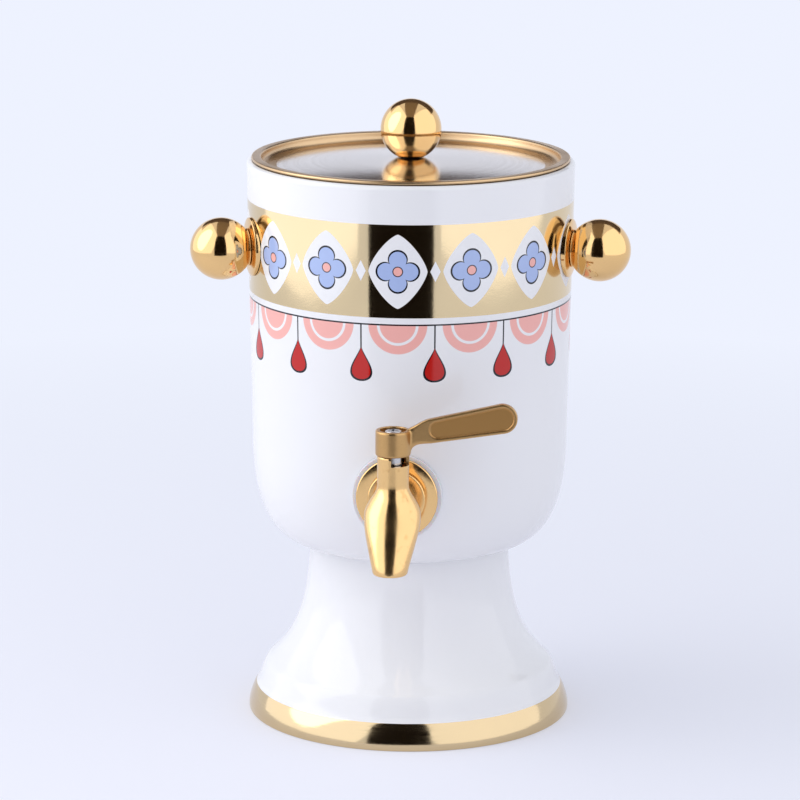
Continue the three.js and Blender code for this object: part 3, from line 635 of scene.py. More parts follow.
def frieze_glaze():
    """The vessel's glaze with its printed frieze."""
    nodes = Nodes("printed_glaze", WHITE, metallic=0, roughness=0.08)
    white, roughness = glazed(nodes)
    gold, prints = frieze(nodes)
    colour = nodes.mix(gold, white, lustre_colour(nodes, LUSTRE))
    for share, ink in prints:
        colour = nodes.mix(share, colour, ink)
    nodes.surface(base_color=colour, metallic=gold, roughness=roughness)
    return nodes.material


# The frieze: a gold band with white lozenges that hold four-petalled flowers, and below it a
# border of hanging scallops with a drop between each two
FRIEZE_REPEATS = 14
FRIEZE_RADIUS = 95.5
FRIEZE_PITCH = 2 * pi * FRIEZE_RADIUS / FRIEZE_REPEATS
BAND_DROPS = (76, 22)
BAND_LOW_Z, BAND_HIGH_Z = [RIM_Z - drop for drop in BAND_DROPS]
# Half width, half height and power of two outlines
LOZENGE = (16.9, 21.5, 1.35)
SPACER = (3.0, 6.0, 1.0)
FLOWER_RADIUS = 6.6
FLOWER_LOBE = 5.6
FLOWER_POWER = 0.7
FLOWER_EYE = 2.5
INK_LINE = 0.55
BORDER_GAP = 4
BORDER_Z = BAND_LOW_Z - BORDER_GAP
BORDER_LINE = 0.45
SCALLOP_RADIUS = 17
SCALLOP_RING_RADIUS = 11.2
SCALLOP_RING_LINE = 0.8
DROP_HANG = 23
DROP_Z = BORDER_Z - DROP_HANG
# Half width and half height
DROP = (5.6, 9.5)
DROP_WIDTH_SHARE = 0.77
EDGE = 0.22


def inside(distance):
    """1 inside an outline and 0 outside it, from the distance to it in millimetres."""
    return (distance * (-1 / EDGE)).math("ADD", 0.5, clamp=True)


def lozenge(u, v, half_width, half_height, power):
    reach = (abs(u) / half_width).power(power) + (abs(v) / half_height).power(power)
    return (reach - 1) * (half_width / power)


def drop_share(nodes, u, v, half_width, half_height):
    """Inside of a hanging drop, pointed above and round below."""
    s = nodes.ramp(v, -half_height, half_height, to_low=-1)
    width = (s + 1).power(0.5) * (s * -1 + 1).power(1.5) * (half_width * DROP_WIDTH_SHARE)
    return inside((abs(u) - width).most(abs(v) - half_height))


def frieze(nodes):
    """The share of gold, and the list of printed colours with the share of each."""
    x, y, z = nodes.place()
    turn = x.math("ARCTAN2", y * -1) * (FRIEZE_REPEATS / (2 * pi))
    u = (turn - turn.math("ROUND")) * FRIEZE_PITCH
    across = (abs(u) - FRIEZE_PITCH / 2) * -1
    middle = (BAND_LOW_Z + BAND_HIGH_Z) / 2
    v = z - middle
    band = inside(abs(v) - (BAND_HIGH_Z - BAND_LOW_Z) / 2)
    panel = inside(lozenge(u, v, *LOZENGE)).most(inside(lozenge(across, v, *SPACER)))
    gold = band * (panel * -1 + 1)
    radius = (u * u + v * v).power(0.5)
    lobes = abs((v.math("ARCTAN2", u) * 2).math("COSINE")).power(FLOWER_POWER) * FLOWER_LOBE
    petals = radius - (lobes + FLOWER_RADIUS)
    below = z - BORDER_Z
    fan = (u * u + below * below).power(0.5)
    hanging = inside(below)
    scallop = inside(fan - SCALLOP_RADIUS) * hanging
    line = inside(abs(below) - BORDER_LINE)
    drop_v = z - DROP_Z
    thread = inside(across - BORDER_LINE)
    thread = thread * inside(abs(z - (BORDER_Z + DROP_Z) / 2) - (BORDER_Z - DROP_Z) / 2)
    grown = [size + 2 * INK_LINE for size in DROP]
    prints = [
        (inside(petals - INK_LINE), INK),
        (inside(petals + INK_LINE), BLUE),
        (inside(radius - FLOWER_EYE - INK_LINE), INK),
        (inside(radius - FLOWER_EYE), PINK),
        (scallop, PINK),
        (inside(abs(fan - SCALLOP_RING_RADIUS) - SCALLOP_RING_LINE) * hanging, WHITE),
        (line.most(thread), INK),
        (drop_share(nodes, across, drop_v, *grown), INK),
        (drop_share(nodes, across, drop_v, *DROP), RED),
    ]
    return gold, prints


def lustre_colour(nodes, colour):
    return nodes.tint(nodes.noise(scale=40, detail=4), colour, darker=0.92)


def lustre():
    """Gold brushed onto glaze and fired: mirror bright, with faint strokes along the band."""
    nodes = Nodes("gold_lustre", FOOT_LUSTRE, metallic=1, roughness=0.1)
    strokes = nodes.streaks(nodes.place(), cells=(0.02, 0.02, 1.6), detail=3)
    roughness = nodes.spread(strokes, 0.07, 0.15)
    return nodes.skin(lustre_colour(nodes, FOOT_LUSTRE), roughness, strokes, depth=0.03, strength=0.35)


def polished_gold():
    """Plated and polished: soft clouding and fine wiping marks."""
    nodes = Nodes("polished_gold", GOLD, metallic=1, roughness=0.1)
    cloud = nodes.noise(scale=60, detail=5)
    marks = nodes.noise(scale=400, detail=2, stretch=(1, 1, 6))
    colour = nodes.tint(cloud, GOLD, darker=0.93)
    roughness = nodes.spread(cloud * 0.5 + marks * 0.5, 0.06, 0.15)
    return nodes.skin(colour, roughness, nodes.noise(scale=90, detail=2), depth=0.03, strength=0.25)


def tap_gold():
    """The cast tap's plating: softer in its shine than the turned parts, with a few stains."""
    nodes = Nodes("tap_gold", GOLD, metallic=1, roughness=0.16)
    cloud = nodes.noise(scale=70, detail=4)
    stain = nodes.ramp(nodes.noise(scale=160, detail=3), low=0.6, high=0.72, to_high=0.5)
    colour = nodes.mix(stain, nodes.tint(cloud, GOLD, darker=0.94), STAIN)
    roughness = nodes.spread(cloud, 0.15, 0.24)
    return nodes.skin(colour, roughness, nodes.noise(scale=120, detail=2), depth=0.04, strength=0.3)


def satin_gold():
    """Fine blasted brass, coarser in the lever's sunk panels, where painted shade darkens its colour."""
    nodes = Nodes("satin_gold", SATIN, metallic=1, roughness=0.32)
    grain = nodes.noise(scale=2600, detail=2)
    cloud = nodes.noise(scale=80, detail=4)
    x, y, _ = nodes.place()
    # Painted shade: the colour darkens towards the floors of the sunk panels, on faces square to the
    # lever's sides, and the same share makes them rougher
    deep, shallow = [LEVER_THICKNESS / 2 - PANEL_DEPTH * share for share in PANEL_SHADE_SHARES]
    hollow_painted_shade = nodes.ramp(abs(y + STEM_REACH), deep, shallow, to_low=1, to_high=0)
    panel = hollow_painted_shade * nodes.ramp(x, SHOULDER_REACH, SHOULDER_REACH + PANEL_SHADE_FADE) * nodes.facing_side()
    colour = nodes.mix(panel, nodes.tint(cloud * 0.6 + grain * 0.4, SATIN, darker=0.8), SATIN_PAINTED_SHADE)
    roughness = nodes.spread(grain, 0.26, 0.36) + panel * 0.12
    return nodes.skin(colour, roughness, grain, depth=0.06, strength=0.6)


def turned_gold():
    """Pale gold sheet with rings of turned brushing."""
    nodes = Nodes("turned_gold", PALE_GOLD, metallic=1, roughness=0.14)
    x, y, _ = nodes.place()
    rings = nodes.streaks(((x * x + y * y).power(0.5), x, y), cells=(2.2, 0.004, 0.004), detail=4)
    tangent = nodes.add("ShaderNodeTangent", direction_type="RADIAL", axis="Z")
    nodes.link(tangent.outputs[0], nodes.shader.inputs["Tangent"])
    nodes.shader.inputs["Anisotropic"].default_value = 0.6
    colour = nodes.tint(rings, PALE_GOLD, darker=0.9)
    return nodes.skin(colour, nodes.spread(rings, 0.11, 0.18), rings, depth=0.03, strength=0.4)


def rim_gold():
    """The spun rim's plating: a softer gold with fine lines of wiping round it."""
    nodes = Nodes("rim_gold", RIM_GOLD, metallic=1, roughness=0.3)
    lines = nodes.streaks(nodes.place(), cells=(0.03, 0.03, 1.8), detail=3)
    colour = nodes.tint(nodes.noise(scale=50, detail=4), RIM_GOLD, darker=0.93)
    return nodes.skin(colour, nodes.spread(lines, 0.25, 0.36), lines, depth=0.02, strength=0.3)


def steel():
    nodes = Nodes("steel", STEEL, metallic=1, roughness=0.25)
    grain = nodes.noise(scale=500, detail=3, stretch=(1, 1, 5))
    colour = nodes.tint(grain, STEEL, darker=0.85)
    return nodes.skin(colour, nodes.spread(grain, 0.18, 0.34), grain, depth=0.02, strength=0.3)


def silicone():
    """Milky, slightly cloudy rubber that lets light some way in."""
    nodes = Nodes("silicone", MILKY, metallic=0, roughness=0.42)
    cloud = nodes.noise(scale=120, detail=3)
    nodes.shader.inputs["Subsurface Weight"].default_value = 0.35
    nodes.shader.inputs["Subsurface Scale"].default_value = SILICONE_DEPTH * MM
    colour = nodes.tint(cloud, MILKY, darker=0.94)
    roughness = nodes.spread(cloud, 0.36, 0.5)
    return nodes.skin(colour, roughness, nodes.noise(scale=1500, detail=2), depth=0.02, strength=0.3)


def biscuit():
    """Unglazed fired clay with fine speckles, on the rings that things stand on."""
    nodes = Nodes("biscuit", BISCUIT, metallic=0, roughness=0.85)
    speckle = nodes.ramp(nodes.noise(scale=1800, detail=2), low=0.62, high=0.7)
    nodes.surface(base_color=nodes.tint(speckle, BISCUIT, darker=0.7))
    nodes.bump(nodes.noise(scale=1200, detail=4), depth=0.12, strength=0.6)
    return nodes.material


FINISHES = {
    "glaze": glaze(), "printed_glaze": frieze_glaze(), "lustre": lustre(), "gold": polished_gold(),
    "tap_gold": tap_gold(), "satin": satin_gold(), "turned": turned_gold(), "rim": rim_gold(),
    "steel": steel(), "silicone": silicone(), "biscuit": biscuit(),
}


def fit(obj, body, node):
    """Hands a piece over: it rides on a body and stands for a CAD node, which is hidden."""
    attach(obj, body)
    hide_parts(node)


# Stand

# Shares of the flare's width and height over which its curve leans out and down from the neck, and
# out and up from its foot
NECK_SHARES = (0.05, 0.35)
FLARE_SHARES = (0.13, 0.255)
BAND_EASE_SHARE = 1.3


def stand():
    neck_top = STAND_TOP - NECK_EDGE
    fall = neck_top - FLARE_Z
    out = FLARE_RADIUS - NECK_RADIUS

    def flare(radius, drop, end_radius):
        return bezier(
            (end_radius, FLARE_Z - drop),
            (radius + FLARE_SHARES[0] * out, FLARE_Z - drop + FLARE_SHARES[1] * fall),
            (radius + NECK_SHARES[0] * out, neck_top - NECK_SHARES[1] * fall),
            (radius, neck_top), CURVE_STEPS * 2,
        )

    band = bezier(
        (FOOT_RADIUS, FOOT_LAND), (FOOT_RADIUS, FOOT_LAND + (BAND_TOP - FOOT_LAND) / 4),
        (BAND_RADIUS + BAND_SLOPE, BAND_TOP - BAND_SLOPE * BAND_EASE_SHARE),
        (BAND_RADIUS, BAND_TOP),
    )
    shoulder = bezier(
        (BAND_RADIUS, BAND_TOP), (SHOULDER_RADIUS, (COVE_Z + BAND_TOP) / 2),
        (SHOULDER_RADIUS, (COVE_Z + FLARE_Z) / 2), (FLARE_RADIUS, FLARE_Z),
    )
    inner_radius = NECK_RADIUS - NECK_WALL
    inner_flare = flare(inner_radius, NECK_WALL, FLARE_RADIUS - NECK_WALL - FOOT_EDGE)
    outline = [
        (FOOT_INNER_RADIUS, 0),
        *arc(FOOT_RADIUS - FOOT_EDGE, FOOT_EDGE, FOOT_EDGE, -90, 0),
        *band,
        *shoulder[1:],
        *flare(NECK_RADIUS, 0, FLARE_RADIUS)[1:],
        *arc(NECK_RADIUS - NECK_EDGE, neck_top, NECK_EDGE, 0, 90)[1:],
        *arc(inner_radius + NECK_EDGE, neck_top, NECK_EDGE, 90, 180),
        *inner_flare[::-1][1:],
        (FOOT_INNER_RADIUS - FOOT_EDGE, BAND_TOP),
    ]

    def zone(r, z):
        if z < FOOT_EDGE / 2 and r < FOOT_RADIUS - FOOT_EDGE:
            return 2
        return 1 if r > BAND_RADIUS and z < BAND_TOP else 0

    obj = turned("stand", outline, ["glaze", "lustre", "biscuit"], steps=WIDE_STEPS, zone=zone)
    fit(obj, "stand", "pedestal")


# Vessel

HANDLE_WALL = wall_radius(HANDLE_Z) / cos(WALL_TAPER)
ROSETTE_FRONT = HANDLE_WALL + ROSETTE_RISE


def handle_frame(side):
    """The frame of a handle: its Z runs out of the vessel, square to the tapered wall."""
    up = HANDLE_Z + HANDLE_WALL * sin(WALL_TAPER)
    turn = spin(side * HANDLE_ANGLE + HANDLE_TURN - pi / 2, "Z")
    return upright(up) @ turn @ spin(pi / 2 + WALL_TAPER, "Y")


def along_tap():
    """The frame of the tap: its Z runs out of the vessel along the tap's axis."""
    return upright(TAP_Z) @ spin(pi / 2, "X")


def vessel():
    foot_outer = NECK_RADIUS - NECK_WALL - VESSEL_FOOT_PLAY
    foot_inner = foot_outer - VESSEL_FOOT_WIDTH
    foot_z = SEAT_Z - VESSEL_FOOT_DEPTH
    half = WALL / 2
    lip_z = RIM_Z - half
    edge = NECK_EDGE / 2
    outline = [
        (0, SEAT_Z),
        (foot_inner, SEAT_Z),
        *arc(foot_inner + edge, foot_z + edge, edge, -180, -90),
        *arc(foot_outer - edge, foot_z + edge, edge, -90, 0),
        (foot_outer, SEAT_Z),
        *corner(OUTSIDE),
        *arc(wall_radius(lip_z) - half, lip_z, half, 0, 180, EDGE_STEPS * 3),
        *corner(INSIDE)[::-1],
        (0, SEAT_Z + FLOOR),
    ]

    def zone(r, z):
        if z < SEAT_Z and foot_inner < r < foot_outer:
            return 1
        return 0 if r > wall_radius(max(z, SEAT_Z)) - half and z > SEAT_Z else 2

    finishes = ["printed_glaze", "biscuit", "glaze"]
    obj = turned("vessel", outline, finishes, steps=WIDE_STEPS, zone=zone)
    wall = wall_radius(TAP_Z)
    holes = [rod(TAP_HOLE_RADIUS, wall - 4 * WALL, wall + WALL, along_tap())]
    wall = wall_radius(HANDLE_Z)
    for side in SIDES.values():
        holes.append(rod(HANDLE_HOLE_RADIUS, wall - 3 * WALL, wall + WALL, handle_frame(side)))
    fit(combine(obj, holes), "vessel", "vessel_bowl")


def wall_solid(grow):
    """A plain tool of the vessel's outer shape, grown by a clearance."""
    outline = [(0, SEAT_Z - grow), *corner(OUTSIDE, grow), (RIM_RADIUS + grow, RIM_Z), (0, RIM_Z)]
    return turned("tool", outline, [], steps=WIDE_STEPS)


# Lid

def dome(top, foot_radius, rise, steps):
    """Points on a shallow dome from the screw's hole out to its foot."""
    sphere = (foot_radius ** 2 + rise ** 2) / (2 * rise)
    hole = LID_SCREW_RADIUS + GAP
    radii = [hole + (foot_radius - hole) * i / steps for i in range(steps + 1)]
    return [(r, top - sphere + sqrt(sphere ** 2 - r ** 2)) for r in radii]


def lid():
    half = FLANGE / 2
    recess = DISH_RADIUS - SHEET
    bend = GUTTER_WIDTH / 2
    plate_radius = recess - LID_COVE
    plate_z = DOME_TOP - PLATE_RISE
    cove = bezier(
        (recess, FLANGE_TOP - SHEET), (recess, plate_z - SHEET / 2),
        (plate_radius + LID_COVE / 2, plate_z - SHEET / 2), (plate_radius, plate_z),
    )
    outline = [
        *dome(DOME_TOP - SHEET, DOME_FOOT_RADIUS, DOME_TOP - GUTTER_Z, CURVE_STEPS),
        *arc(DISH_RADIUS - bend, GUTTER_Z + bend - SHEET, bend, -90, 0),
        (DISH_RADIUS, FLANGE_Z),
        *arc(FLANGE_RADIUS - half, FLANGE_Z + half, half, -90, 90, EDGE_STEPS * 3),
        *arc(recess + SHEET, FLANGE_TOP - SHEET, SHEET, 90, 180, EDGE_STEPS * 2),
        *cove[1:],
        *dome(DOME_TOP, plate_radius, PLATE_RISE, CURVE_STEPS * 2)[::-1][1:],
    ]

    zone = lambda r, _: int(r < plate_radius)
    obj = turned("lid_plate", outline, ["rim", "turned"], steps=WIDE_STEPS, zone=zone)
    fit(obj, "lid", "lid_dish")


def lid_gasket():
    inner = DISH_RADIUS + GAP
    valley = GASKET_RADIUS - GASKET_RIB
    pitch = (gasket_high.z - gasket_low.z) / GASKET_RIBS
    ribs = []
    for i in range(GASKET_RIBS * CURVE_STEPS + 1):
        turn = i / CURVE_STEPS
        swell = (1 - cos(2 * pi * turn)) / 2
        ribs.append((valley + swell * (GASKET_RADIUS - valley), gasket_low.z + turn * pitch))
    outline = [(inner, gasket_low.z), *ribs, (inner, gasket_high.z)]
    fit(turned("gasket", outline, ["silicone"], steps=WIDE_STEPS), "lid", "lid_gasket")


def lid_knob():
    flat_z = DOME_TOP + GAP
    centre = flat_z + sqrt(KNOB_RADIUS ** 2 - KNOB_FLAT ** 2)
    angle = degrees(acos(KNOB_FLAT / KNOB_RADIUS))
    bore = LID_SCREW_RADIUS + GAP
    depth = flat_z + KNOB_FLAT + NECK_END_RADIUS / 3
    outline = [
        (0, depth), (bore, depth), (bore, flat_z),
        *arc(0, centre, KNOB_RADIUS, -angle, 90, PART_STEPS // 2)[:-1],
        (0, centre + KNOB_RADIUS),
    ]
    fit(turned("knob", outline, ["gold"]), "lid", "lid_knob")


# Shares of a screw's size: its crown's curve, and the half length, half width and depth of its cross
CROWN_SHARES = (0.7, 0.3)
CROSS_SHARES = (0.55, 0.14, 0.6)


def screw(name, radius, head, underside, length, place):
    """A pan-headed screw that points up its own Z, with a cross recess in its head."""
    head_radius, head_height = head
    low, end = underside - head_height, underside + length
    crown = head_height / 2
    out, up = CROWN_SHARES
    rim = bezier(
        (0, low), (head_radius * out, low),
        (head_radius, low + crown * up), (head_radius, underside - crown), EDGE_STEPS * 2,
    )
    outline = [
        *rim, (head_radius, underside), (radius, underside), (radius, end - radius / 3),
        (radius * out, end), (0, end),
    ]
    obj = turned(name, outline, ["steel"], place, SMALL_STEPS)
    arm, width, depth = [side * s for side, s in zip((head_radius, head_radius, head_height), CROSS_SHARES)]
    bar = [(-arm, -width), (arm, -width), (arm, width), (-arm, width)]
    places = [place @ spin(turn, "Z") for turn in (0, pi / 2)]
    return combine(obj, [prism("tool", bar, low - OVERRUN, low + depth, [], at) for at in places])


def lid_hardware():
    washer_radius, washer = LID_WASHER
    top = DOME_TOP - SHEET - GAP
    under = top - washer - GAP
    hole = LID_SCREW_RADIUS + GAP
    plate = ring("knob_washer", hole, washer_radius, top - washer, top, "steel", steps=SMALL_STEPS)
    fit(plate, "lid", "lid_washer")
    length = extent("lid_screw")[1].z - under
    bolt = screw("knob_screw", LID_SCREW_RADIUS, LID_SCREW_HEAD, under, length, upright())
    fit(bolt, "lid", "lid_screw")


# Ball handles

def handle(side, name):
    place = handle_frame(side)
    ball(name, place, ROSETTE_FRONT + GAP)
    rosette(name, place)
    handle_washer(name, place)


def ball(name, place, neck_end):
    centre = neck_end + NECK_LENGTH
    bore = HANDLE_SCREW_RADIUS + GAP
    depth = neck_end + 4 * bore
    blend_angle = degrees(acos(NECK_BLEND_RADIUS / BALL_RADIUS))
    blend_z = centre - sqrt(BALL_RADIUS ** 2 - NECK_BLEND_RADIUS ** 2)
    neck = bezier(
        (NECK_END_RADIUS, neck_end + 2 * NECK_BEAD), (NECK_END_RADIUS, (neck_end + blend_z) / 2),
        ((NECK_END_RADIUS + NECK_BLEND_RADIUS) / 2, blend_z - (NECK_BLEND_RADIUS - NECK_END_RADIUS) / 2),
        (NECK_BLEND_RADIUS, blend_z), EDGE_STEPS * 3,
    )
    outline = [
        (0, depth), (bore, depth), (bore, neck_end),
        *arc(NECK_END_RADIUS, neck_end + NECK_BEAD, NECK_BEAD, -90, 90, EDGE_STEPS * 2)[:-1],
        *neck,
        *arc(0, centre, BALL_RADIUS, -blend_angle, 90, PART_STEPS // 2)[1:-1],
        (0, centre + BALL_RADIUS),
    ]
    obj = turned(f"{name}_ball", outline, ["gold"], place)
    fit(obj, "vessel", f"{name}_handle_ball")


def rosette(name, place):
    """A flat-topped disc cut to the wall's curve, its back sunk in the middle for the washer."""
    front = ROSETTE_FRONT
    edge_z = HANDLE_WALL + ROSETTE_EDGE
    back = behind(HANDLE_WALL, ROSETTE_RADIUS)
    face = bezier(
        (ROSETTE_RADIUS, edge_z), (ROSETTE_RADIUS, (edge_z + front) / 2),
        ((ROSETTE_RADIUS + NECK_END_RADIUS) / 2, front), (NECK_END_RADIUS, front),
    )
    hole = HANDLE_SCREW_RADIUS + GAP
    outline = [(hole, back), (ROSETTE_RADIUS, back), *face, (hole, front)]
    obj = turned(f"{name}_rosette", outline, ["gold"], place)
    seat = rod(HANDLE_WASHER_RADIUS + GAP, back, front, place, PART_STEPS)
    combine(seat, [wall_solid(HANDLE_WASHER + 2 * GAP)], "INTERSECT")
    combine(obj, [wall_solid(GAP), seat])
    fit(obj, "vessel", f"{name}_handle_rosette")


def handle_washer(name, place):
    radius = HANDLE_WASHER_RADIUS
    back = behind(HANDLE_WALL, radius)
    obj = ring(f"{name}_washer", HANDLE_HOLE_RADIUS, radius, back, ROSETTE_FRONT, "silicone", place)
    combine(obj, [wall_solid(GAP + HANDLE_WASHER)], "INTERSECT")
    combine(obj, [wall_solid(GAP)])
    fit(obj, "vessel", f"{name}_handle_outer_washer")


# Tap

def escutcheon():
    bevel = (ESCUTCHEON_FRONT - ESCUTCHEON_BACK) / 3
    hole = SHANK_RADIUS + GAP
    edge_z = ESCUTCHEON_FRONT - ESCUTCHEON_FALL - bevel
    outline = [
        (hole, ESCUTCHEON_BACK),
        (ESCUTCHEON_RADIUS - bevel / 2, ESCUTCHEON_BACK),
        (ESCUTCHEON_RADIUS, ESCUTCHEON_BACK + bevel / 2),
        *arc(ESCUTCHEON_RADIUS - bevel, edge_z, bevel, 0, 90),
        (ESCUTCHEON_LAND, ESCUTCHEON_FRONT),
        (hole, ESCUTCHEON_FRONT),
    ]
    obj = turned("escutcheon", outline, ["gold"], along_tap())
    fit(obj, "vessel", "tap_escutcheon")


def tap_washer():
    radius = TAP_WASHER_RADIUS
    back = behind(wall_radius(TAP_Z - radius), radius)
    front = ESCUTCHEON_BACK - GAP
    obj = ring("tap_washer", TAP_HOLE_RADIUS, radius, back, front, "silicone", along_tap())
    combine(obj, [wall_solid(GAP)])
    fit(obj, "vessel", "tap_outer_washer")


# Stations down the spout, from the stem's shoulder to the lip. The shares say how far down each
# one lies, how wide and deep it is between housing and widest spout, and how far forward it is.
SPOUT_SHARES = [
    (0, 0, 0, 0),
    (0.05, 0.03, 0.02, 0),
    (0.11, 0.2, 0.14, 0),
    (0.2, 0.6, 0.43, 0.03),
    (0.31, 0.95, 0.72, 0.09),
    (0.41, 1, 0.8, 0.2),
    (0.54, 0.88, 0.72, 0.4),
    (0.68, 0.65, 0.5, 0.63),
    (0.84, 0.36, 0.28, 0.86),
    (0.93, 0.2, 0.18, 0.97),
    (1, 0.12, 0.12, 1),
]


def eased(rows, steps):
    """Rows of numbers filled in with a smooth curve through them, the first number leading."""
    slopes = []
    for i in range(len(rows)):
        before, after = rows[max(i - 1, 0)], rows[min(i + 1, len(rows) - 1)]
        slopes.append([(b - a) / (after[0] - before[0]) for a, b in zip(before, after)])
    filled = []
    for i in range(len(rows) - 1):
        span = rows[i + 1][0] - rows[i][0]
        for k in range(steps):
            t = k / steps
            weights = (
                2 * t ** 3 - 3 * t ** 2 + 1, (t ** 3 - 2 * t ** 2 + t) * span,
                3 * t ** 2 - 2 * t ** 3, (t ** 3 - t ** 2) * span,
            )
            parts = zip(rows[i], slopes[i], rows[i + 1], slopes[i + 1])
            filled.append([sum(w * v for w, v in zip(weights, part)) for part in parts])
    return filled + [rows[-1]]


def stations():
    """Height, width, depth and place to the back of each ring of the spout, from its top down."""
    for down, width, depth, forward in eased(SPOUT_SHARES, EDGE_STEPS):
        yield SPOUT_TOP - down * (SPOUT_TOP - OUTLET_Z), width, depth, STEM_Y - forward * OUTLET_REACH


def ellipse(half_width, half_depth, y, z):
    angles = [2 * pi * i / PART_STEPS for i in range(PART_STEPS)]
    return [Vector((AXIS_X + half_width * cos(a), y + half_depth * sin(a), z)) for a in angles]


def spout():
    """The spout and the stem's housing above it, as one closed skin."""
    swell = SPOUT_HALF_WIDTH - HOUSING_RADIUS
    rings = [ellipse(HOUSING_RADIUS, HOUSING_RADIUS, STEM_Y, HOUSING_TOP)]
    for z, width, depth, y in stations():
        if z >= OUTLET_Z + LIP_ROUNDING:
            rings.append(ellipse(HOUSING_RADIUS + width * swell, HOUSING_RADIUS + depth * swell, y, z))
    for r, z in arc(OUTLET_RADIUS - LIP_ROUNDING, OUTLET_Z + LIP_ROUNDING, LIP_ROUNDING, 0, -90):
        rings.append(ellipse(r, r, STEM_Y - OUTLET_REACH, z))
    return loft("tap", rings[::-1], ["tap_gold"])


def spout_bore():
    """The way through the spout, from below the lip to the valve's chamber."""
    radius = OUTLET_RADIUS - SPOUT_WALL
    rings = [ellipse(radius, radius, STEM_Y - OUTLET_REACH, OUTLET_Z - OVERRUN)]
    for z, _, _, y in reversed(list(stations())):
        if OUTLET_Z < z < CHAMBER_FLOOR - OVERRUN:
            rings.append(ellipse(radius, radius, y, z))
    rings.append(ellipse(radius, radius, STEM_Y, CHAMBER_FLOOR + GAP))
    return loft("tool", rings, [])


def tap_back():
    """The collar that meets the escutcheon, and the threaded shank behind it."""
    back = ESCUTCHEON_FRONT + GAP
    end = back + COLLAR
    edge = COLLAR / 3
    turns = int((back - SHANK_END) / SHANK_PITCH)
    thread = []
    for i in range(turns):
        z = SHANK_END + i * SHANK_PITCH
        thread += [(SHANK_RADIUS - SHANK_PITCH / 3, z), (SHANK_RADIUS, z + SHANK_PITCH / 2)]
    outline = [
        (0, SHANK_END), *thread, (SHANK_RADIUS - SHANK_PITCH / 3, back), (COLLAR_RADIUS - edge / 3, back),
        (COLLAR_RADIUS, back + edge / 3), *arc(COLLAR_RADIUS - edge, end - edge, edge, 0, 90),
        (BARREL_RADIUS - edge, end), (BARREL_RADIUS - edge, end + OVERRUN), (0, end + OVERRUN),
    ]
    return turned("tool", outline, ["tap_gold"], along_tap())


def barrel():
    start = ESCUTCHEON_FRONT + GAP + COLLAR / 2
    outline = [(0, start), (BARREL_RADIUS, start), (BARREL_RADIUS, STEM_REACH), (0, STEM_REACH)]
    return turned("tool", outline, ["tap_gold"], along_tap())


def notch(inner, outer, start, end, low, high):
    """A prism over a stretch of a ring about the stem, its angles in degrees from +X."""
    points = arc(0, 0, outer, start, end, CURVE_STEPS) + arc(0, 0, inner, end, start, CURVE_STEPS)
    return prism("tool", points, low, high, [], over_stem())


def tap():
    obj = combine(spout(), [barrel()], "UNION")
    melt(obj, TAP_VOXEL, rounds=14)
    combine(obj, [tap_back()], "UNION")
    combine(obj, [
        rod(CHAMBER_RADIUS, CHAMBER_FLOOR, HOUSING_TOP + OVERRUN, over_stem()),
        rod(INLET_RADIUS, SHANK_END - OVERRUN, STEM_REACH, along_tap()),
        notch(
            STEM_RADIUS, HOUSING_RADIUS + OVERRUN, -SWING - STOP_PLAY, STOP_ANGLE + STOP_PLAY,
            HOUSING_TOP - STOP_DEPTH - GAP, HOUSING_TOP + OVERRUN,
        ),
        spout_bore(),
    ])
    fit(obj, "vessel", "tap_body")


def plug():
    """The valve's plug and stem, with its narrower end hidden in the hub."""
    groove = PLUG_RADIUS - 3 * GAP
    grooves = []
    for node in ("lower_seal_ring", "upper_seal_ring"):
        low, high = extent(node)
        low, high = low.z - GAP, high.z + GAP
        grooves += [(PLUG_RADIUS, low), (groove, low), (groove, high), (PLUG_RADIUS, high)]
    tang = HUB_Z + HUB_SOCKET - GAP
    outline = [
        (0, plug_low.z), (PLUG_RADIUS, plug_low.z), *grooves, (PLUG_RADIUS, PLUG_SHOULDER),
        (STEM_RADIUS, PLUG_SHOULDER), (STEM_RADIUS, tang), (TANG_RADIUS, tang),
        (TANG_RADIUS, plug_high.z), (0, plug_high.z),
    ]
    obj = turned("plug", outline, ["steel"], over_stem(), SMALL_STEPS)
    thread = extent("lever_screw")[0].z - GAP
    combine(obj, [
        rod(PORT_RADIUS, plug_low.z - OVERRUN, TAP_Z, over_stem()),
        rod(PORT_RADIUS, 0, PLUG_RADIUS + OVERRUN, over_stem(TAP_Z) @ spin(-pi / 2, "Y")),
        rod(LEVER_SCREW_RADIUS + GAP, thread, plug_high.z + OVERRUN, over_stem()),
    ])
    fit(obj, "tap_lever", "valve_plug")


# Lever

def lever_frame():
    """The lever's own plane stood upright over the stem and tilted up, its X towards the tip."""
    return over_stem(HUB_Z + LEVER_RISE) @ spin(-LEVER_TILT, "Y") @ spin(pi / 2, "X")


def paddle_outline():
    root = ROOT_REACH - ROOT_TUCK
    low = -ROOT_BELOW - ROOT_FILLET
    back, down = SHOULDER_PULL
    out, up = ROOT_PULL
    top = bezier(
        (SHOULDER_REACH, SHOULDER_HALF), (SHOULDER_REACH - back, SHOULDER_HALF - down),
        (ROOT_REACH + out, ROOT_ABOVE + up), (root, ROOT_ABOVE + ROOT_STEP), CURVE_STEPS // 2,
    )
    fillet = bezier(
        (ROOT_REACH - FILLET_TUCK, low), (ROOT_REACH + FILLET_LEAN, -ROOT_BELOW - ROOT_FILLET / 3),
        (ROOT_REACH + ROOT_FILLET / 2, -ROOT_BELOW),
        (ROOT_REACH + ROOT_FILLET + FILLET_RUN, -ROOT_BELOW), EDGE_STEPS * 2,
    )
    tip = arc(LEVER_REACH - TIP_RADIUS, 0, TIP_RADIUS, -90, 90, CURVE_STEPS)
    return [(root, low), *fillet, (SHOULDER_REACH, -SHOULDER_HALF), *tip, *top]


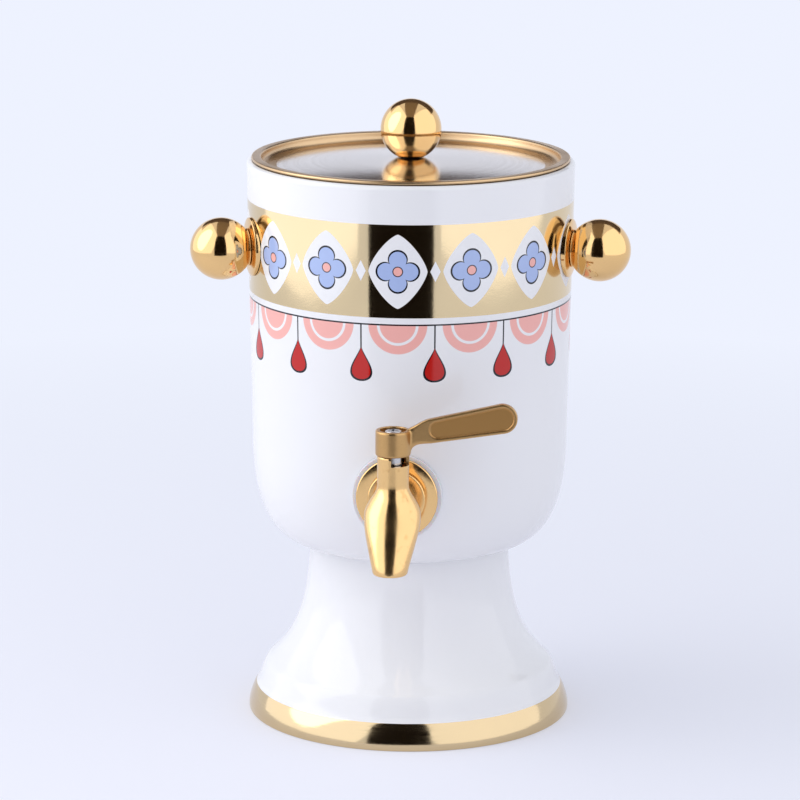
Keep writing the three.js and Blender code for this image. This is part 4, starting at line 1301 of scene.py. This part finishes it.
def panel_outline():
    start_radius = SHOULDER_HALF - PANEL_MARGIN
    points = arc(SHOULDER_REACH + start_radius, 0, start_radius, 90, 270, CURVE_STEPS)
    return points + arc(LEVER_REACH - TIP_RADIUS, 0, TIP_RADIUS - PANEL_MARGIN, -90, 90, CURVE_STEPS)


def lever():
    edge = HUB_EDGE
    hub = [
        (0, HUB_Z), (HUB_RADIUS - edge / 2, HUB_Z), (HUB_RADIUS, HUB_Z + edge / 2),
        *arc(HUB_RADIUS - edge, HUB_TOP - edge, edge, 0, 90), (0, HUB_TOP),
    ]
    half = LEVER_THICKNESS / 2
    recess = HUB_TOP - HUB_RECESS_DEPTH
    obj = turned("lever", hub, ["satin"], over_stem())
    combine(obj, [prism("tool", paddle_outline(), -half, half, [], lever_frame())], "UNION")
    melt(obj, LEVER_VOXEL, rounds=6)
    root = lever_frame() @ Vector((HUB_RADIUS + ROOT_SOFT_OUT, -ROOT_BELOW / 2, 0))
    soften(obj, root, ROOT_BELOW * ROOT_SOFT_SHARE, rounds=90)
    panels = [
        prism("tool", panel_outline(), low, low + PANEL_DEPTH + OVERRUN, [], lever_frame())
        for low in (-half - OVERRUN, half - PANEL_DEPTH)
    ]
    combine(obj, [*panels, rod(HUB_RECESS_RADIUS, recess, HUB_TOP + OVERRUN, over_stem())])
    melt(obj, LEVER_VOXEL, rounds=3)
    lug = (CHAMBER_RADIUS + GAP, HOUSING_RADIUS, 0, STOP_ANGLE, HOUSING_TOP - STOP_DEPTH, HUB_Z + edge)
    combine(obj, [notch(*lug)], "UNION")
    combine(obj, [
        rod(STEM_RADIUS + GAP, HUB_Z - OVERRUN, HUB_Z + HUB_SOCKET, over_stem()),
        rod(TANG_RADIUS + GAP, HUB_Z, recess + OVERRUN, over_stem()),
    ])
    fit(obj, "tap_lever", "tap_lever")


def lever_hardware():
    low, high = extent("lever_washer")
    radius = high.x - AXIS_X
    hole = LEVER_SCREW_RADIUS + GAP
    place = over_stem()
    washer = ring("lever_washer_plate", hole, radius, low.z, high.z, "steel", place, SMALL_STEPS, THIN_EDGE)
    fit(washer, "tap_lever", "lever_washer")
    under = high.z + GAP
    low, high = extent("lever_screw")
    head = (high.x - AXIS_X, high.z - under)
    flipped = over_stem(under) @ spin(pi, "X")
    bolt = screw("lever_bolt", LEVER_SCREW_RADIUS, head, 0, under - low.z, flipped)
    fit(bolt, "tap_lever", "lever_screw")


# Sealed or inner pieces that keep their CAD shape, by the finish that they take
HIDDEN = {
    "silicone": [
        "tap_inner_washer", "lower_seal_ring", "upper_seal_ring",
        "left_handle_inner_washer", "right_handle_inner_washer",
    ],
    "steel": [
        "tap_metal_washer", "tap_lock_nut", "plug_clip", "left_handle_metal_washer",
        "right_handle_metal_washer", "left_handle_screw", "right_handle_screw",
    ],
}


def hidden_parts():
    for finish, nodes in HIDDEN.items():
        for node in nodes:
            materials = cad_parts[node].data.materials
            materials.clear()
            materials.append(FINISHES[finish])


# Set, lights and camera. The camera's place is in millimetres, and the sizes of the floor, the
# lights and the cards are in metres.

CAMERA_DISTANCE = 2325.6
CAMERA_HEIGHT = 720.1
CAMERA_ROUND = radians(4.3)
CAMERA_PITCH = radians(12.88)
CAMERA_YAW = radians(0.144)
CAMERA_ROLL = radians(0.23)
CAMERA_LENS = 180.3
CAMERA_SENSOR = 36
CAMERA_SIGHT = 100
FLOOR_SIZE = 40
BACKDROP = (0.855, 0.89, 1.0)
BACKDROP_LIGHT = 0.57
NEAR_FLOOR = (0.86, 0.86, 0.94)
NEAR_GLOW = 0.35
FLOOR_FADE = (150, 1100)
LIGHT_AIM_Z = 200
# Azimuth from the front to the right, elevation, distance, width, height, power and shape
LIGHTS = {
    "left_softbox": (-75, 30, 1.25, 2.9, 2.0, 11.6, "RECTANGLE"),
    "left_core": (-76, 30, 1.2, 0.9, 1.4, 4.2, "ELLIPSE"),
    "right_softbox": (67, 30, 1.35, 3.0, 2.1, 10.4, "RECTANGLE"),
}
FLAG_NEAR = 0.95
FLAG_TOP = 1.7
FLAG_OVER = 1.05
FLAG_REAR = 4.5
FLAG_ANGLES = (-26.9, 21.5)
REAR_SIDES = (-2, 2)
BLACK = (0.012, 0.009, 0.007)
BROWN = (0.27, 0.22, 0.165)
DARK = (0.17, 0.13, 0.1)


def camera():
    data = bpy.data.cameras.new("camera")
    data.lens = CAMERA_LENS
    data.sensor_width = CAMERA_SENSOR
    data.clip_end = CAMERA_SIGHT
    obj = shown("camera", data)
    x = AXIS_X + CAMERA_DISTANCE * sin(CAMERA_ROUND)
    y = AXIS_Y - CAMERA_DISTANCE * cos(CAMERA_ROUND)
    obj.location = Vector((x, y, CAMERA_HEIGHT)) * MM
    aim = spin(CAMERA_ROUND + CAMERA_YAW, "Z") @ spin(pi / 2 - CAMERA_PITCH, "X")
    obj.rotation_euler = (aim @ spin(CAMERA_ROLL, "Z")).to_euler()
    bpy.context.scene.camera = obj


def seen_as_is(tree):
    """1 for rays that look at a surface directly or in a mirror or glass, 0 for lighting."""
    path = tree.nodes.new("ShaderNodeLightPath")
    total = path.outputs["Is Camera Ray"]
    for name in ("Is Glossy Ray", "Is Transmission Ray"):
        node = tree.nodes.new("ShaderNodeMath")
        node.operation = "MAXIMUM"
        tree.links.new(total, node.inputs[0])
        tree.links.new(path.outputs[name], node.inputs[1])
        total = node.outputs[0]
    return total


def backdrop():
    """A pale world, as bright as it is painted where it is looked at and softer as a light."""
    bpy.context.scene.view_settings.view_transform = "Standard"
    world = bpy.data.worlds.new("world")
    bpy.context.scene.world = world
    world.use_nodes = True
    tree = world.node_tree
    background = tree.nodes["Background"]
    background.inputs["Color"].default_value = (*BACKDROP, 1)
    strength = tree.nodes.new("ShaderNodeMapRange")
    strength.inputs["To Min"].default_value = BACKDROP_LIGHT
    tree.links.new(seen_as_is(tree), strength.inputs["Value"])
    tree.links.new(strength.outputs[0], background.inputs["Strength"])


def card(nodes, corners):
    """A flat sheet that takes its name and look from a material."""
    mesh = bpy.data.meshes.new(nodes.material.name)
    mesh.from_pydata(corners, [], [tuple(range(len(corners)))])
    mesh.materials.append(nodes.material)
    return shown(nodes.material.name, mesh)


def floor():
    """A wide pale table that keeps the object's shadow and runs into the backdrop's colour."""
    nodes = Nodes("floor", NEAR_FLOOR, metallic=0, roughness=0.9)
    glow = nodes.add("ShaderNodeEmission")
    glow.inputs["Color"].default_value = (*BACKDROP, 1)
    x, y, _ = nodes.place()
    far = nodes.ramp((x * x + y * y).power(0.5), *FLOOR_FADE, NEAR_GLOW)
    join = nodes.add("ShaderNodeMixShader")
    nodes.feed(join.inputs[0], far * Value(nodes, seen_as_is(nodes.tree)))
    nodes.link(nodes.shader.outputs[0], join.inputs[1])
    nodes.link(glow.outputs[0], join.inputs[2])
    nodes.link(join.outputs[0], nodes.tree.nodes["Material Output"].inputs["Surface"])
    half = FLOOR_SIZE / 2
    card(nodes, [(-half, -half, 0), (half, -half, 0), (half, half, 0), (-half, half, 0)])


def lights():
    """A wide softbox with a hotter middle on the left, and a fainter one on the right."""
    for name, (azimuth, elevation, distance, width, height, power, shape) in LIGHTS.items():
        data = bpy.data.lights.new(name, "AREA")
        data.shape = shape
        data.size = width
        data.size_y = height
        data.energy = power
        obj = shown(name, data)
        a, e = radians(azimuth), radians(elevation)
        out = Vector((sin(a) * cos(e), -cos(a) * cos(e), sin(e)))
        obj.location = Vector((AXIS_X, AXIS_Y, LIGHT_AIM_Z)) * MM + out * distance
        obj.rotation_euler = out.to_track_quat("Z", "Y").to_euler()
        obj.visible_camera = False


def flag(name, shade, sides, start, end):
    """A dark card beside the lights, seen only in reflections, between two (y, z) edges."""
    nodes = Nodes(name, shade, metallic=0, roughness=1)
    nodes.shader.inputs["Specular IOR Level"].default_value = 0
    left, right = sides
    obj = card(nodes, [(left, *start), (right, *start), (right, *end), (left, *end)])
    obj.visible_camera = False
    obj.visible_diffuse = False
    obj.visible_shadow = False


def flags():
    """A dark gap between the soft lights that runs from the table up and over the top, and
    widens behind."""
    sides = [FLAG_NEAR * sin(radians(a)) for a in FLAG_ANGLES]
    top, over = (-FLAG_NEAR, FLAG_TOP), (FLAG_OVER, FLAG_TOP)
    flag("front_flag", BLACK, sides, (-FLAG_NEAR, 0), top)
    flag("top_flag", BROWN, sides, top, over)
    flag("rear_flag", DARK, REAR_SIDES, over, (FLAG_REAR, FLAG_TOP))


camera()
backdrop()
floor()
flags()
lights()
stand()
vessel()
lid()
lid_gasket()
lid_knob()
lid_hardware()
for name, side in SIDES.items():
    handle(side, name)
escutcheon()
tap_washer()
tap()
plug()
lever()
lever_hardware()
hidden_parts()
